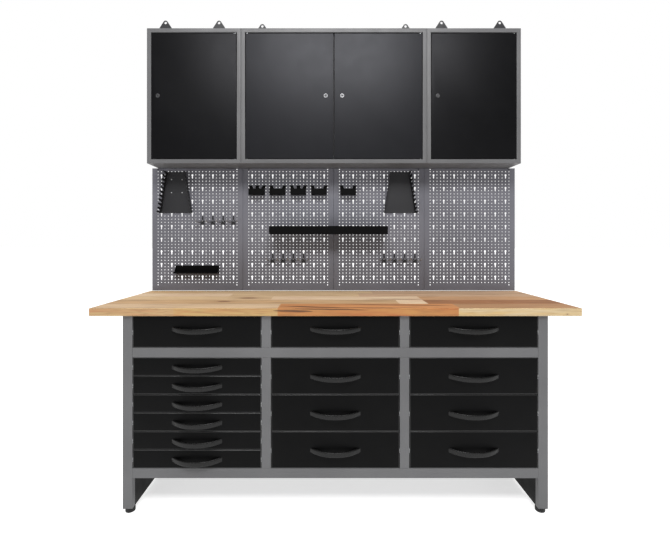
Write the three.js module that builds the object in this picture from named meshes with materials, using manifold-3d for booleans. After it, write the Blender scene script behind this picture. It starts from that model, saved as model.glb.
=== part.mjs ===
// Workbench with drawers, perforated wall panels and wall cabinets.
// Millimetres, +Z up. The user stands at -Y, the wall is the plane y = WALL_Y.
// Origin: middle of the footprint, on the floor.
import * as THREE from "three";
import { mergeVertices } from "three/addons/utils/BufferGeometryUtils.js";
import Module from "manifold-3d";

const wasm = await Module();
wasm.setup();

// ---- Driving dimensions ----
const GAP = 0.3; // between pieces that touch
const SHEET = 1.5; // steel sheet
const PAST = 1; // how far a cutting solid runs past the face that it opens
const HOLE_CUT = 10; // length of a rod that cuts a hole through a sheet
const ROUND_SIDES = 20; // facets of feet and locks
const SMALL_SIDES = 14; // facets of pins and their holes
const WALL_Y = 308;

// Worktop
const TOP_HALF = 1000;
const TOP_DEPTH = 600;
const TOP_THICK = 32;
const TOP_Z = 845; // upper face
const TOP_ARRIS = 1.5; // chamfer on the long edges
const TOP_FRONT = WALL_Y - TOP_DEPTH;
const UNDER_Z = TOP_Z - TOP_THICK;

// Bench frame
const FRAME_HALF = 870;
const FRAME_SETBACK = 15;
const FRAME_FRONT = TOP_FRONT + FRAME_SETBACK;
const FRAME_REAR = WALL_Y - FRAME_SETBACK;
const LEG_WIDE = 40;
const LEG_DEEP = 25;
const LEG_FOOT_Z = 22;
const POST_WIDE = 38;
const BAY_WIDE = (2 * (FRAME_HALF - LEG_WIDE) - 2 * POST_WIDE) / 3;
const BAY_PITCH = BAY_WIDE + POST_WIDE;
const INNER_HALF = FRAME_HALF - LEG_WIDE; // inner side of the legs
const PANEL_DEEP = 18; // folded rim of the side panels
const RAIL_HIGH = 40;
const BOTTOM_RAIL_Z = 148;
const MID_RAIL_Z = 641;
const LOWER_ZONE = [BOTTOM_RAIL_Z + RAIL_HIGH, MID_RAIL_Z];
const UPPER_ZONE = [MID_RAIL_Z + RAIL_HIGH, UNDER_Z];
const RAIL_BACK = FRAME_FRONT + LEG_DEEP;
const BACK_SHEET_Y = FRAME_REAR - 8;
const FOOT_RADIUS = 20;
const FOOT_CHAMFER = 3; // at the floor
const FOOT_BREAK = 2; // at the upper edge
const FOOT_BACK = 14; // foot axis, from the middle of the leg towards the middle of the bench
const PLUG_HALF_X = 16;
const PLUG_HALF_Y = 9;
const PLUG_HIGH = 24;

// Drawers and slides
const DRAWER_GAP = 2; // between two fronts, and beside each front
const FRONT_FACE = FRAME_FRONT + 1;
const FRONT_RIM = 14;
const TRAY_SHEET = 1.2;
const TRAY_LONG = 500;
const TRAY_CLEAR = 12; // between the tray and the side of the bay
const TRAY_FOOT = 6; // tray floor above the lower edge of the front
const TRAY_DROP = 12; // tray rim below the upper edge of the front
const SLIDE_FIXED = 5.5;
const SLIDE_MOVING = 5;
const SLIDE_FRONT = FRAME_FRONT + 27;
const SLIDE_BACK = FRONT_FACE + TRAY_LONG - 4;
const SLIDE_FIXED_HIGH = 20;
const SLIDE_MOVING_HIGH = 16;
const SLIDE_ROOT = 0.5; // part of a fixed slide that is sunk into its sheet

// Handles
const HANDLE_HALF = 103;
const HANDLE_REACH = 32;
const HANDLE_HIGH = 20;
const HANDLE_BAR = 8; // bar thickness at the middle
const HANDLE_FOOT = 17; // length of each foot on the drawer front
const HANDLE_DROOP = 6;
const HANDLE_FULLNESS = 2.4; // exponent of the bow
const HANDLE_STEPS = 7; // chords on each half of the bow
const HANDLE_BELOW_MIDDLE = 2;
const TOP_HANDLE_RAISE = 12;

// Wall cabinets
const CAB_DEPTH = 160;
const CAB_FRONT = WALL_Y - CAB_DEPTH;
const CAB_BOTTOM = 1514;
const CAB_TOP = 2204;
const CAB_OUTER = 955; // half width over all three cabinets
const CAB_INNER = 475; // half width of the centre cabinet
const FLANGE = 21;
const LIP_DEEP = 20;
const SHELF_Z = 1925; // well above the cams of the locks
const SHELF_FRONT = CAB_FRONT + 36;
const SHELF_RIM = 12;
const MULLION_HALF = 15;
const MULLION_Y = CAB_FRONT + 21;
const TAB_THICK = 3;
const TAB_HALF = 33;
const TAB_HEAD = 13; // radius of the rounded head
const TAB_HOLE = 7;
const TAB_TAPER = 40; // height of the tapered part
const TAB_OVERLAP = 10; // part of the plate that lies on the cabinet's rear wall
const TAB_RISE = 121; // side cabinets
const TAB_RISE_CENTRE = 102;

// Doors and locks
const DOOR_FACE = CAB_FRONT + 1;
const DOOR_DEEP = 18;
const DOOR_SIDE_GAP = 2.5;
const DOOR_TOP_GAP = 5;
const CENTRE_DOOR_GAP = 4; // between the two doors of the centre cabinet
const PIVOT_IN = 8; // pivot axis from the door's edge
const PIVOT_BACK = 6; // and behind its face
const PIN_RADIUS = 3;
const PIN_HOLE = 3.6;
const PIN_OUT = 7;
const LOCK_Z = 1859;
const LOCK_FROM_EDGE = 32; // from the lock side of the door
const LOCK_FROM_EDGE_CENTRE = 40;
const LOCK_HEAD = 11; // radii of the head, the barrel and the hole for it
const LOCK_BARREL = 9;
const LOCK_HOLE = 9.7;
const LOCK_PROUD = 3; // head in front of the door
const CAM_Y = CAB_FRONT + 24;
const CAM_THICK = 2;
const CAM_HALF = 7;
const CAM_REACH = 42;
const CAM_REACH_CENTRE = 37;

// Perforated panels and what hangs on them
const BOARD_WIDE = 494;
const BOARD_DEEP = 16;
const BOARD_FRONT = WALL_Y - BOARD_DEEP;
const BOARD_CLEAR = 3; // the panels hang on the wall, clear of the worktop
const BOARD_BOTTOM = TOP_Z + BOARD_CLEAR;
const BOARD_TOP = CAB_BOTTOM - 0.6;
const BOARD_LEFT = [-2, -1, 0, 1].map((i) => i * BOARD_WIDE);
const KEY_PITCH_X = 56;
const KEY_PITCH_Z = 69;
const KEY_COLUMNS = 8;
const KEY_TOP_Z = 1469;
const KEY_MARGIN = (BOARD_WIDE - (KEY_COLUMNS - 1) * KEY_PITCH_X) / 2;
const WRENCH_TOP_HALF = 50;
const WRENCH_BOTTOM_HALF = 85;
const WRENCH_HIGH = 225;
const WRENCH_CHEEK = 50;
const WRENCH_BOTTOM = 6.5; // lower edge above keyhole row 3
const BIN_HALF = 41.5;
const BIN_DEEP = 40;
const BIN_HIGH = 32;
const BIN_BACK_HIGH = 48;
const BIN_DROP = 34; // floor below the keyholes that the bin hangs in
const PAD_HALF = 6; // tongue that hooks a tray into a keyhole
const PAD_TOP_GAP = 2; // from the tongue to the upper edge of the tray's back
const LONG_SHELF_DEEP = 120;
const LONG_SHELF_HIGH = 42;
const LONG_SHELF_DROP = 40;
const LONG_SHELF_SPARE = 4; // length past the outermost keyhole columns
const SHORT_SHELF_DEEP = 38;
const SHORT_SHELF_HALF = 118;
const SHORT_SHELF_LIP = 9;
const SHORT_SHELF_BACK = 41;
const SHORT_SHELF_DROP = 43;
const HOOK_HALF = 26;
const HOOK_REACH = 38;
const HOOK_RISE = 12;
const HOOK_WIRE = 2;
const HOOK_SAG = 4; // lowest point of each arm below the plate's end of the wire
const HOOK_DROP = 40; // wire below the keyhole that the hook hangs in
const HOOK_PLATE_HALF = 8;
const HOOK_PLATE_THICK = 4;
const HOOK_PLATE_Z = [-12, 26]; // plate below and above the wire

// ---- Solids ----

/** Closed manifold from a three.js geometry. */
function solid(geometry) {
  const bare = geometry.clone();
  bare.deleteAttribute("normal");
  bare.deleteAttribute("uv");
  const merged = mergeVertices(bare, 1e-3);
  return new wasm.Manifold(new wasm.Mesh({
    numProp: 3,
    vertProperties: Float32Array.from(merged.attributes.position.array),
    triVerts: Uint32Array.from(merged.index.array),
  }));
}

/** Box between x0..x1, y0..y1, z0..z1; its corners are set exactly, so that faces line up. */
function block([x0, x1], [y0, y1], [z0, z1]) {
  const box = new THREE.BoxGeometry(1, 1, 1);
  const corners = box.attributes.position;
  for (const i of range(corners.count)) {
    corners.setXYZ(
      i,
      corners.getX(i) < 0 ? x0 : x1,
      corners.getY(i) < 0 ? y0 : y1,
      corners.getZ(i) < 0 ? z0 : z1,
    );
  }
  return solid(box);
}

/** Outline in (y, z), extruded along X. */
function prismX(points, x0, x1) {
  const outline = new THREE.Shape(points.map(([y, z]) => new THREE.Vector2(y, z)));
  const geometry = new THREE.ExtrudeGeometry(outline, { depth: x1 - x0, bevelEnabled: false });
  const turn = new THREE.Matrix4().makeBasis(
    new THREE.Vector3(0, 1, 0),
    new THREE.Vector3(0, 0, 1),
    new THREE.Vector3(1, 0, 0),
  );
  geometry.applyMatrix4(turn);
  geometry.translate(x0, 0, 0);
  return solid(geometry);
}

/** Outline in (x, z), extruded along Y. */
function prismY(outline, y0, y1) {
  const geometry = new THREE.ExtrudeGeometry(outline, {
    depth: y1 - y0,
    bevelEnabled: false,
    curveSegments: 6,
  });
  geometry.rotateX(Math.PI / 2);
  geometry.translate(0, y1, 0);
  return solid(geometry);
}

/** Round bar about a line parallel to "y" or "z". */
function rod(axis, [x, y, z], radius, length, sides) {
  const bar = new THREE.CylinderGeometry(radius, radius, length, sides);
  if (axis === "z") {
    bar.rotateX(Math.PI / 2);
  }
  bar.translate(x, y, z);
  return solid(bar);
}

function join(first, ...others) {
  return others.reduce((whole, piece) => whole.add(piece), first);
}

function cut(first, ...tools) {
  return tools.reduce((whole, tool) => whole.subtract(tool), first);
}

/** Numbers 0 .. count - 1. */
function range(count) {
  return Array.from({ length: count }, (_, i) => i);
}

const PAINTS = {
  wood: { color: 0xc79a66, roughness: 0.55, metalness: 0 },
  grey_steel: { color: 0x737376, roughness: 0.45, metalness: 0.2 },
  board_steel: { color: 0x7c7b85, roughness: 0.5, metalness: 0.2 },
  black_steel: { color: 0x1b1b1c, roughness: 0.4, metalness: 0.1 },
  door_steel: { color: 0x28282b, roughness: 0.35, metalness: 0.1 },
  black_plastic: { color: 0x202020, roughness: 0.5, metalness: 0 },
  chrome: { color: 0xb5b5b8, roughness: 0.2, metalness: 1 },
};

const workbench = new THREE.Group();

/** Adds one named piece to the group. */
function piece(name, shape, paint) {
  const mesh = shape.getMesh();
  const geometry = new THREE.BufferGeometry();
  geometry.setAttribute("position", new THREE.BufferAttribute(mesh.vertProperties, 3));
  geometry.setIndex(new THREE.BufferAttribute(mesh.triVerts, 1));
  geometry.computeVertexNormals();
  const part = new THREE.Mesh(geometry, new THREE.MeshStandardMaterial(PAINTS[paint]));
  part.name = name;
  workbench.add(part);
}

// ---- Drawer layout ----

/** Fronts of one stack of drawers, bottom first: [low z, high z] of each. */
function stack([low, high], count) {
  const pitch = (high - low) / count;
  return range(count).map((i) => [
    low + i * pitch + DRAWER_GAP / 2,
    low + (i + 1) * pitch - DRAWER_GAP / 2,
  ]);
}

const BAYS = [
  { name: "left", centre: -BAY_PITCH, lower: 6 },
  { name: "middle", centre: 0, lower: 3 },
  { name: "right", centre: BAY_PITCH, lower: 3 },
];

for (const bay of BAYS) {
  bay.fronts = [...stack(LOWER_ZONE, bay.lower), ...stack(UPPER_ZONE, 1)];
}

/** Height of the slides of a drawer with this front. */
function slideHeight([low, high]) {
  return (low + TRAY_FOOT + high - TRAY_DROP) / 2;
}

/** Fixed slides of one bay, on its side at x = face; into is +1 or -1, towards the drawers. */
function fixedSlides(bay, face, into) {
  const span = [face - SLIDE_ROOT * into, face + SLIDE_FIXED * into].sort((a, b) => a - b);
  return bay.fronts.map((front) => {
    const middle = slideHeight(front);
    const half = SLIDE_FIXED_HIGH / 2;
    return block(span, [SLIDE_FRONT, SLIDE_BACK], [middle - half, middle + half]);
  });
}

// ---- Bench ----

function worktop() {
  const [y0, y1] = [TOP_FRONT, WALL_Y];
  const arris = TOP_ARRIS;
  return prismX([
    [y0 + arris, UNDER_Z], [y1, UNDER_Z], [y1, TOP_Z], [y0 + arris, TOP_Z],
    [y0, TOP_Z - arris], [y0, UNDER_Z + arris],
  ], -TOP_HALF, TOP_HALF);
}

/** Folded box-section leg, open at both ends; side is -1 or +1, y0 its front face. */
function leg(side, y0) {
  const x = [side * INNER_HALF, side * FRAME_HALF].sort((a, b) => a - b);
  const inside = [x[0] + SHEET, x[1] - SHEET];
  const outer = block(x, [y0, y0 + LEG_DEEP], [LEG_FOOT_Z, UNDER_Z - GAP]);
  return cut(outer, block(inside, [y0 + SHEET, y0 + LEG_DEEP - SHEET], [0, TOP_Z]));
}

/** Side panel between two legs: a sheet on the inner side with its rim folded outwards. */
function sidePanel(side, bay) {
  const y = [FRAME_FRONT + LEG_DEEP + GAP, FRAME_REAR - LEG_DEEP - GAP];
  const z = [LEG_FOOT_Z, UNDER_Z - GAP];
  const order = (a, b) => [side * a, side * b].sort((p, q) => p - q);
  const pan = block(order(INNER_HALF, INNER_HALF + PANEL_DEEP), y, z);
  const recess = block(
    order(INNER_HALF + SHEET, INNER_HALF + PANEL_DEEP + PAST),
    [y[0] + SHEET, y[1] - SHEET],
    [z[0] + SHEET, z[1] - SHEET],
  );
  return join(cut(pan, recess), ...fixedSlides(bay, side * INNER_HALF, -side));
}

/** Channel between the legs, open to the rear, that separates the top drawers. */
function midRail() {
  const x = [GAP - INNER_HALF, INNER_HALF - GAP];
  const z = [MID_RAIL_Z, MID_RAIL_Z + RAIL_HIGH];
  const outer = block(x, [FRAME_FRONT, RAIL_BACK], z);
  const inside = block(
    [x[0] - PAST, x[1] + PAST],
    [FRAME_FRONT + SHEET, RAIL_BACK + PAST],
    [z[0] + SHEET, z[1] - SHEET],
  );
  return cut(outer, inside);
}

/** One folded sheet: bottom rail, floor and back. */
function floorAndBack() {
  const x = [GAP - INNER_HALF, INNER_HALF - GAP];
  const railTop = BOTTOM_RAIL_Z + RAIL_HIGH;
  const back = [BACK_SHEET_Y, BACK_SHEET_Y + SHEET];
  const top = UNDER_Z - GAP;
  return join(
    block(x, [FRAME_FRONT, back[1]], [BOTTOM_RAIL_Z, BOTTOM_RAIL_Z + SHEET]),
    block(x, [FRAME_FRONT, FRAME_FRONT + SHEET], [BOTTOM_RAIL_Z, railTop]),
    block(x, [FRAME_FRONT, RAIL_BACK], [railTop - SHEET, railTop]),
    block(x, back, [BOTTOM_RAIL_Z, top]),
    block(x, [back[0], FRAME_REAR], [top - SHEET, top]),
  );
}

/** Post and partition between two bays: a U-section, open to the rear, notched for the rails. */
function divider(leftBay, rightBay) {
  const centre = (leftBay.centre + rightBay.centre) / 2;
  const x = [centre - POST_WIDE / 2, centre + POST_WIDE / 2];
  const rear = BACK_SHEET_Y - GAP;
  const floor = BOTTOM_RAIL_Z + SHEET + GAP;
  const acrossX = [x[0] - PAST, x[1] + PAST];
  const notchY = [FRAME_FRONT - PAST, RAIL_BACK + GAP];
  const section = cut(
    block(x, [FRAME_FRONT, rear], [floor, UNDER_Z - GAP]),
    block([x[0] + SHEET, x[1] - SHEET], [FRAME_FRONT + SHEET, rear + PAST], [0, TOP_Z]),
    block(acrossX, notchY, [0, BOTTOM_RAIL_Z + RAIL_HIGH + GAP]),
    block(acrossX, notchY, [MID_RAIL_Z - GAP, MID_RAIL_Z + RAIL_HIGH + GAP]),
  );
  return join(section, ...fixedSlides(leftBay, x[0], -1), ...fixedSlides(rightBay, x[1], 1));
}

/** Round plastic foot with a plug that sits in the leg's open end. */
function foot(side, y0) {
  const height = LEG_FOOT_Z - GAP;
  const profile = [
    [0, 0],
    [FOOT_RADIUS - FOOT_CHAMFER, 0],
    [FOOT_RADIUS, FOOT_CHAMFER],
    [FOOT_RADIUS, height - FOOT_BREAK],
    [FOOT_RADIUS - FOOT_BREAK, height],
    [0, height],
  ].map(([r, z]) => new THREE.Vector2(r, z));
  const disc = new THREE.LatheGeometry(profile, ROUND_SIDES);
  disc.rotateX(Math.PI / 2);
  const legX = side * (FRAME_HALF - LEG_WIDE / 2);
  const legY = y0 + LEG_DEEP / 2;
  const inward = y0 < 0 ? 1 : -1;
  disc.translate(legX, legY + inward * FOOT_BACK, 0);
  const plug = block(
    [legX - PLUG_HALF_X, legX + PLUG_HALF_X],
    [legY - PLUG_HALF_Y, legY + PLUG_HALF_Y],
    [height - PAST, height + PLUG_HIGH],
  );
  return join(solid(disc), plug);
}

// ---- Drawers ----

/** Folded tray with its front pan and the moving halves of its two slides. */
function drawer(bay, front) {
  const [low, high] = front;
  const frontX = [
    bay.centre - BAY_WIDE / 2 + DRAWER_GAP,
    bay.centre + BAY_WIDE / 2 - DRAWER_GAP,
  ];
  const rim = [FRONT_FACE, FRONT_FACE + FRONT_RIM];
  const pan = cut(
    block(frontX, rim, front),
    block([frontX[0] + SHEET, frontX[1] - SHEET], [rim[0] + SHEET, rim[1] + PAST],
      [low + SHEET, high - SHEET]),
  );
  const x = [
    bay.centre - BAY_WIDE / 2 + TRAY_CLEAR,
    bay.centre + BAY_WIDE / 2 - TRAY_CLEAR,
  ];
  const y = [FRONT_FACE + SHEET / 2, FRONT_FACE + TRAY_LONG];
  const z = [low + TRAY_FOOT, high - TRAY_DROP];
  const t = TRAY_SHEET;
  const tray = cut(
    block(x, y, z),
    block([x[0] + t, x[1] - t], [FRONT_FACE + SHEET, y[1] - t], [z[0] + t, z[1] + PAST]),
  );
  const middle = slideHeight(front);
  const slideZ = [middle - SLIDE_MOVING_HIGH / 2, middle + SLIDE_MOVING_HIGH / 2];
  const slideY = [SLIDE_FRONT, SLIDE_BACK];
  return join(
    pan,
    tray,
    block([x[0] - SLIDE_MOVING, x[0] + t / 2], slideY, slideZ),
    block([x[1] - t / 2, x[1] + SLIDE_MOVING], slideY, slideZ),
  );
}

/** Half-outline of a bow with the given half length and reach, from its middle to its end. */
function bow(half, reach) {
  return range(HANDLE_STEPS + 1).map((i) => {
    const along = Math.sin((i / HANDLE_STEPS) * (Math.PI / 2));
    return [half * along, reach * (1 - along ** HANDLE_FULLNESS)];
  });
}

/** Bow handle: a flat bar bent outwards, its middle a little lower than its feet. */
function handle(x, z) {
  const outer = bow(HANDLE_HALF, HANDLE_REACH - GAP);
  const inner = bow(HANDLE_HALF - HANDLE_FOOT, HANDLE_REACH - GAP - HANDLE_BAR);
  const right = [...outer, ...inner.reverse()];
  const left = right.slice(1, -1).reverse().map(([px, py]) => [-px, py]);
  const outline = [...right, ...left].map(([px, py]) => new THREE.Vector2(px, -py));
  const bar = new THREE.ExtrudeGeometry(new THREE.Shape(outline), {
    depth: HANDLE_HIGH,
    bevelEnabled: false,
  });
  const spots = bar.attributes.position;
  for (const i of range(spots.count)) {
    const droop = HANDLE_DROOP * (1 - (spots.getX(i) / HANDLE_HALF) ** 2);
    spots.setZ(i, spots.getZ(i) - HANDLE_HIGH / 2 - droop);
  }
  bar.translate(x, FRONT_FACE - GAP, z);
  return solid(bar);
}

// ---- Wall cabinets ----

/** Hanger plate on the rear wall of a cabinet, with a round head and a hole. */
function hangerTab(x, rise) {
  const top = CAB_TOP + rise;
  const headZ = top - TAB_HEAD;
  const shape = new THREE.Shape();
  const lean = Math.PI / 5; // where the round head meets the taper
  const side = TAB_HEAD * Math.cos(lean);
  shape.moveTo(x - TAB_HALF, CAB_TOP - TAB_OVERLAP);
  shape.lineTo(x + TAB_HALF, CAB_TOP - TAB_OVERLAP);
  shape.lineTo(x + TAB_HALF, top - TAB_TAPER);
  shape.lineTo(x + side, headZ + TAB_HEAD * Math.sin(lean));
  shape.absarc(x, headZ, TAB_HEAD, lean, Math.PI - lean, false);
  shape.lineTo(x - TAB_HALF, top - TAB_TAPER);
  shape.closePath();
  const plate = prismY(shape, WALL_Y - TAB_THICK, WALL_Y);
  return cut(plate, rod("y", [x, WALL_Y, headZ], TAB_HOLE, HOLE_CUT, SMALL_SIDES));
}

/** Opening of a cabinet's front, inside its flange: [x range, z range]. */
function doorway([x0, x1]) {
  return [[x0 + FLANGE, x1 - FLANGE], [CAB_BOTTOM + FLANGE, CAB_TOP - FLANGE]];
}

/** Sheet shell with a front flange and its inward lip, an inner shelf and hanger tabs. */
function cabinet(x, pivots, tabs, rise, hasMullion) {
  const [openX, openZ] = doorway(x);
  const z = [CAB_BOTTOM, CAB_TOP];
  const y = [CAB_FRONT, WALL_Y];
  const t = SHEET;
  const shell = cut(
    block(x, y, z),
    block([x[0] + t, x[1] - t], [y[0] + t, y[1] - t], [z[0] + t, z[1] - t]),
  );
  const lip = block([openX[0] - t, openX[1] + t], [y[0] + t / 2, y[0] + LIP_DEEP],
    [openZ[0] - t, openZ[1] + t]);
  const shelfX = [x[0] + t / 2, x[1] - t / 2];
  const shelf = cut(
    block(shelfX, [SHELF_FRONT, y[1] - t / 2], [SHELF_Z - SHELF_RIM, SHELF_Z]),
    block([x[0] - PAST, x[1] + PAST], [SHELF_FRONT + t, y[1] + PAST], [0, SHELF_Z - t]),
  );
  let body = cut(
    join(shell, lip),
    block(openX, [y[0] - PAST, y[0] + LIP_DEEP + PAST], openZ),
    ...pivots.flatMap((px) => openZ.map((pz) => rod(
      "z", [px, DOOR_FACE + PIVOT_BACK, pz], PIN_HOLE, HOLE_CUT, SMALL_SIDES,
    ))),
  );
  body = join(body, shelf, ...tabs.map((tx) => hangerTab(tx, rise)));
  if (!hasMullion) {
    return body;
  }
  const strip = [MULLION_Y, MULLION_Y + t];
  return join(body, block([-MULLION_HALF, MULLION_HALF], strip, [z[0] + t / 2, z[1] - t / 2]));
}

/** Door pan with pivot pins on the edge at hinge (-1 left, +1 right) and a hole for its lock. */
function door(x, hinge, lockX) {
  const z = [CAB_BOTTOM + FLANGE + DOOR_SIDE_GAP, CAB_TOP - FLANGE - DOOR_TOP_GAP];
  const y = [DOOR_FACE, DOOR_FACE + DOOR_DEEP];
  const t = SHEET;
  const pan = cut(
    block(x, y, z),
    block([x[0] + t, x[1] - t], [y[0] + t, y[1] + PAST], [z[0] + t, z[1] - t]),
    rod("y", [lockX, DOOR_FACE, LOCK_Z], LOCK_HOLE, HOLE_CUT, ROUND_SIDES),
  );
  const pivot = pivotOf(x, hinge);
  const pins = [
    [z[0] - PIN_OUT, z[0] + PIN_OUT],
    [z[1] - PIN_OUT, z[1] + PIN_OUT + DOOR_TOP_GAP - DOOR_SIDE_GAP],
  ];
  return join(pan, ...pins.map(([low, high]) => rod(
    "z",
    [pivot, DOOR_FACE + PIVOT_BACK, (low + high) / 2],
    PIN_RADIUS,
    high - low,
    SMALL_SIDES,
  )));
}

function pivotOf(x, hinge) {
  return hinge < 0 ? x[0] + PIVOT_IN : x[1] - PIVOT_IN;
}

/** Cam lock: round head, barrel and a cam that hangs straight down when unlocked. */
function camLock(x, reach) {
  const head = [DOOR_FACE - LOCK_PROUD, DOOR_FACE - GAP];
  const barrel = [DOOR_FACE - LOCK_PROUD / 2, CAM_Y + CAM_THICK];
  return join(
    rod("y", [x, (head[0] + head[1]) / 2, LOCK_Z], LOCK_HEAD, head[1] - head[0], ROUND_SIDES),
    rod("y", [x, (barrel[0] + barrel[1]) / 2, LOCK_Z], LOCK_BARREL, barrel[1] - barrel[0], ROUND_SIDES),
    block([x - CAM_HALF, x + CAM_HALF], [CAM_Y, CAM_Y + CAM_THICK], [LOCK_Z - reach, LOCK_Z]),
  );
}

// ---- Perforated panels ----

/** X of keyhole column i, counted from the left, on board b. */
function keyX(b, i) {
  return BOARD_LEFT[b] + KEY_MARGIN + i * KEY_PITCH_X;
}

/** Z of keyhole row j, counted from the top. */
function keyZ(j) {
  return KEY_TOP_Z - j * KEY_PITCH_Z;
}

/** Sheet with its rim folded back to the wall. */
function board(b) {
  const x = [BOARD_LEFT[b] + GAP, BOARD_LEFT[b] + BOARD_WIDE - GAP];
  const z = [BOARD_BOTTOM, BOARD_TOP];
  return cut(
    block(x, [BOARD_FRONT, WALL_Y], z),
    block([x[0] + SHEET, x[1] - SHEET], [BOARD_FRONT + SHEET, WALL_Y + PAST],
      [z[0] + SHEET, z[1] - SHEET]),
  );
}

/** Tapered plate with a cheek along each slanted side. */
function wrenchHolder(x, bottom) {
  const rear = BOARD_FRONT + SHEET / 2;
  const slope = (WRENCH_BOTTOM_HALF - WRENCH_TOP_HALF) / WRENCH_HIGH;
  const taper = (inset, spare) => new THREE.Shape([
    [-1, -spare], [1, -spare], [1, WRENCH_HIGH + spare], [-1, WRENCH_HIGH + spare],
  ].map(([side, up]) => new THREE.Vector2(
    x + side * (WRENCH_BOTTOM_HALF - slope * up - inset),
    bottom + up,
  )));
  return cut(
    prismY(taper(0, 0), BOARD_FRONT - WRENCH_CHEEK, rear),
    prismY(taper(2 * SHEET, PAST), BOARD_FRONT - WRENCH_CHEEK - PAST, BOARD_FRONT - SHEET),
  );
}

/** Open tray in front of a board, with tongues at padX that hook it into the keyholes. */
function hungTray([x0, x1], deep, floor, lipTop, backTop, padX) {
  const t = SHEET;
  const front = BOARD_FRONT - deep;
  const rear = BOARD_FRONT - GAP;
  const tray = cut(
    block([x0, x1], [front, rear], [floor, backTop]),
    block([x0 + t, x1 - t], [front + t, rear - t], [floor + t, backTop + PAST]),
    block([x0 - PAST, x1 + PAST], [front - PAST, rear - t], [lipTop, backTop + 2 * PAST]),
  );
  return join(tray, ...padX.map((x) => block(
    [x - PAD_HALF, x + PAD_HALF],
    [rear - t / 2, BOARD_FRONT + t / 2],
    [backTop - 2 * PAD_HALF, backTop - PAD_TOP_GAP],
  )));
}

/** Small tray hung on two neighbouring keyholes of row 1. */
function bin(b, column) {
  const pads = [keyX(b, column), keyX(b, column + 1)];
  const x = (pads[0] + pads[1]) / 2;
  const floor = keyZ(1) - BIN_DROP;
  return hungTray([x - BIN_HALF, x + BIN_HALF], BIN_DEEP, floor, floor + BIN_HIGH,
    floor + BIN_BACK_HIGH, pads);
}

/** Wire bent forwards on both sides of a small plate, with raised tips. */
function doubleHook(b, column, row) {
  const x = keyX(b, column);
  const z = keyZ(row) - HOOK_DROP;
  const right = [
    [HOOK_HALF / 2, -HOOK_REACH / 2, -HOOK_SAG],
    [HOOK_HALF, HOOK_SAG - HOOK_REACH, 0],
    [HOOK_HALF, -HOOK_REACH, HOOK_RISE],
  ];
  const left = right.map(([dx, dy, dz]) => [-dx, dy, dz]).reverse();
  const points = [...left, [0, -2 * SHEET, 0], ...right];
  const path = new THREE.CatmullRomCurve3(
    points.map(([dx, dy, dz]) => new THREE.Vector3(x + dx, BOARD_FRONT + dy, z + dz)),
  );
  const section = new THREE.Shape(range(6).map((i) => new THREE.Vector2(
    HOOK_WIRE * Math.cos((i * Math.PI) / 3),
    HOOK_WIRE * Math.sin((i * Math.PI) / 3),
  )));
  const wire = new THREE.ExtrudeGeometry(section, { steps: 12, extrudePath: path });
  return join(
    solid(wire),
    block(
      [x - HOOK_PLATE_HALF, x + HOOK_PLATE_HALF],
      [BOARD_FRONT - HOOK_PLATE_THICK, BOARD_FRONT + SHEET / 2],
      HOOK_PLATE_Z.map((dz) => z + dz),
    ),
  );
}

/** Shelf that spans the joint of the two middle boards; it hooks into the left one. */
function longShelf() {
  const floor = keyZ(4) - LONG_SHELF_DROP;
  const x = [keyX(1, 2) - LONG_SHELF_SPARE, keyX(2, 4) + LONG_SHELF_SPARE];
  const top = floor + LONG_SHELF_HIGH;
  return hungTray(x, LONG_SHELF_DEEP, floor, top, top, [keyX(1, 3), keyX(1, 6)]);
}

/** Narrow ledge with a low lip, for small parts. */
function shortShelf() {
  const pads = [keyX(0, 2), keyX(0, 5)];
  const x = (pads[0] + pads[1]) / 2;
  const floor = keyZ(7) - SHORT_SHELF_DROP;
  return hungTray([x - SHORT_SHELF_HALF, x + SHORT_SHELF_HALF], SHORT_SHELF_DEEP, floor,
    floor + SHORT_SHELF_LIP, floor + SHORT_SHELF_BACK, pads);
}

// ---- Assembly ----

const SIDES = [["left", -1], ["right", 1]];
const [LEFT_BAY, MIDDLE_BAY, RIGHT_BAY] = BAYS;
const REAR_LEG_Y = FRAME_REAR - LEG_DEEP;

piece("worktop", worktop(), "wood");
for (const [name, side] of SIDES) {
  piece(`front_leg_${name}`, leg(side, FRAME_FRONT), "grey_steel");
  piece(`rear_leg_${name}`, leg(side, REAR_LEG_Y), "grey_steel");
  piece(`front_foot_${name}`, foot(side, FRAME_FRONT), "black_plastic");
  piece(`rear_foot_${name}`, foot(side, REAR_LEG_Y), "black_plastic");
}
piece("side_panel_left", sidePanel(-1, LEFT_BAY), "black_steel");
piece("side_panel_right", sidePanel(1, RIGHT_BAY), "black_steel");
piece("mid_rail", midRail(), "grey_steel");
piece("floor_and_back", floorAndBack(), "grey_steel");
piece("divider_left", divider(LEFT_BAY, MIDDLE_BAY), "grey_steel");
piece("divider_right", divider(MIDDLE_BAY, RIGHT_BAY), "grey_steel");

for (const bay of BAYS) {
  bay.fronts.forEach((front, i) => {
    const isTop = i === bay.lower;
    const name = isTop ? `${bay.name}_top` : `${bay.name}_${i + 1}`;
    const middle = (front[0] + front[1]) / 2 - HANDLE_BELOW_MIDDLE;
    piece(`drawer_${name}`, drawer(bay, front), "black_steel");
    piece(`handle_${name}`, handle(bay.centre, middle + (isTop ? TOP_HANDLE_RAISE : 0)),
      "black_plastic");
  });
}

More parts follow.
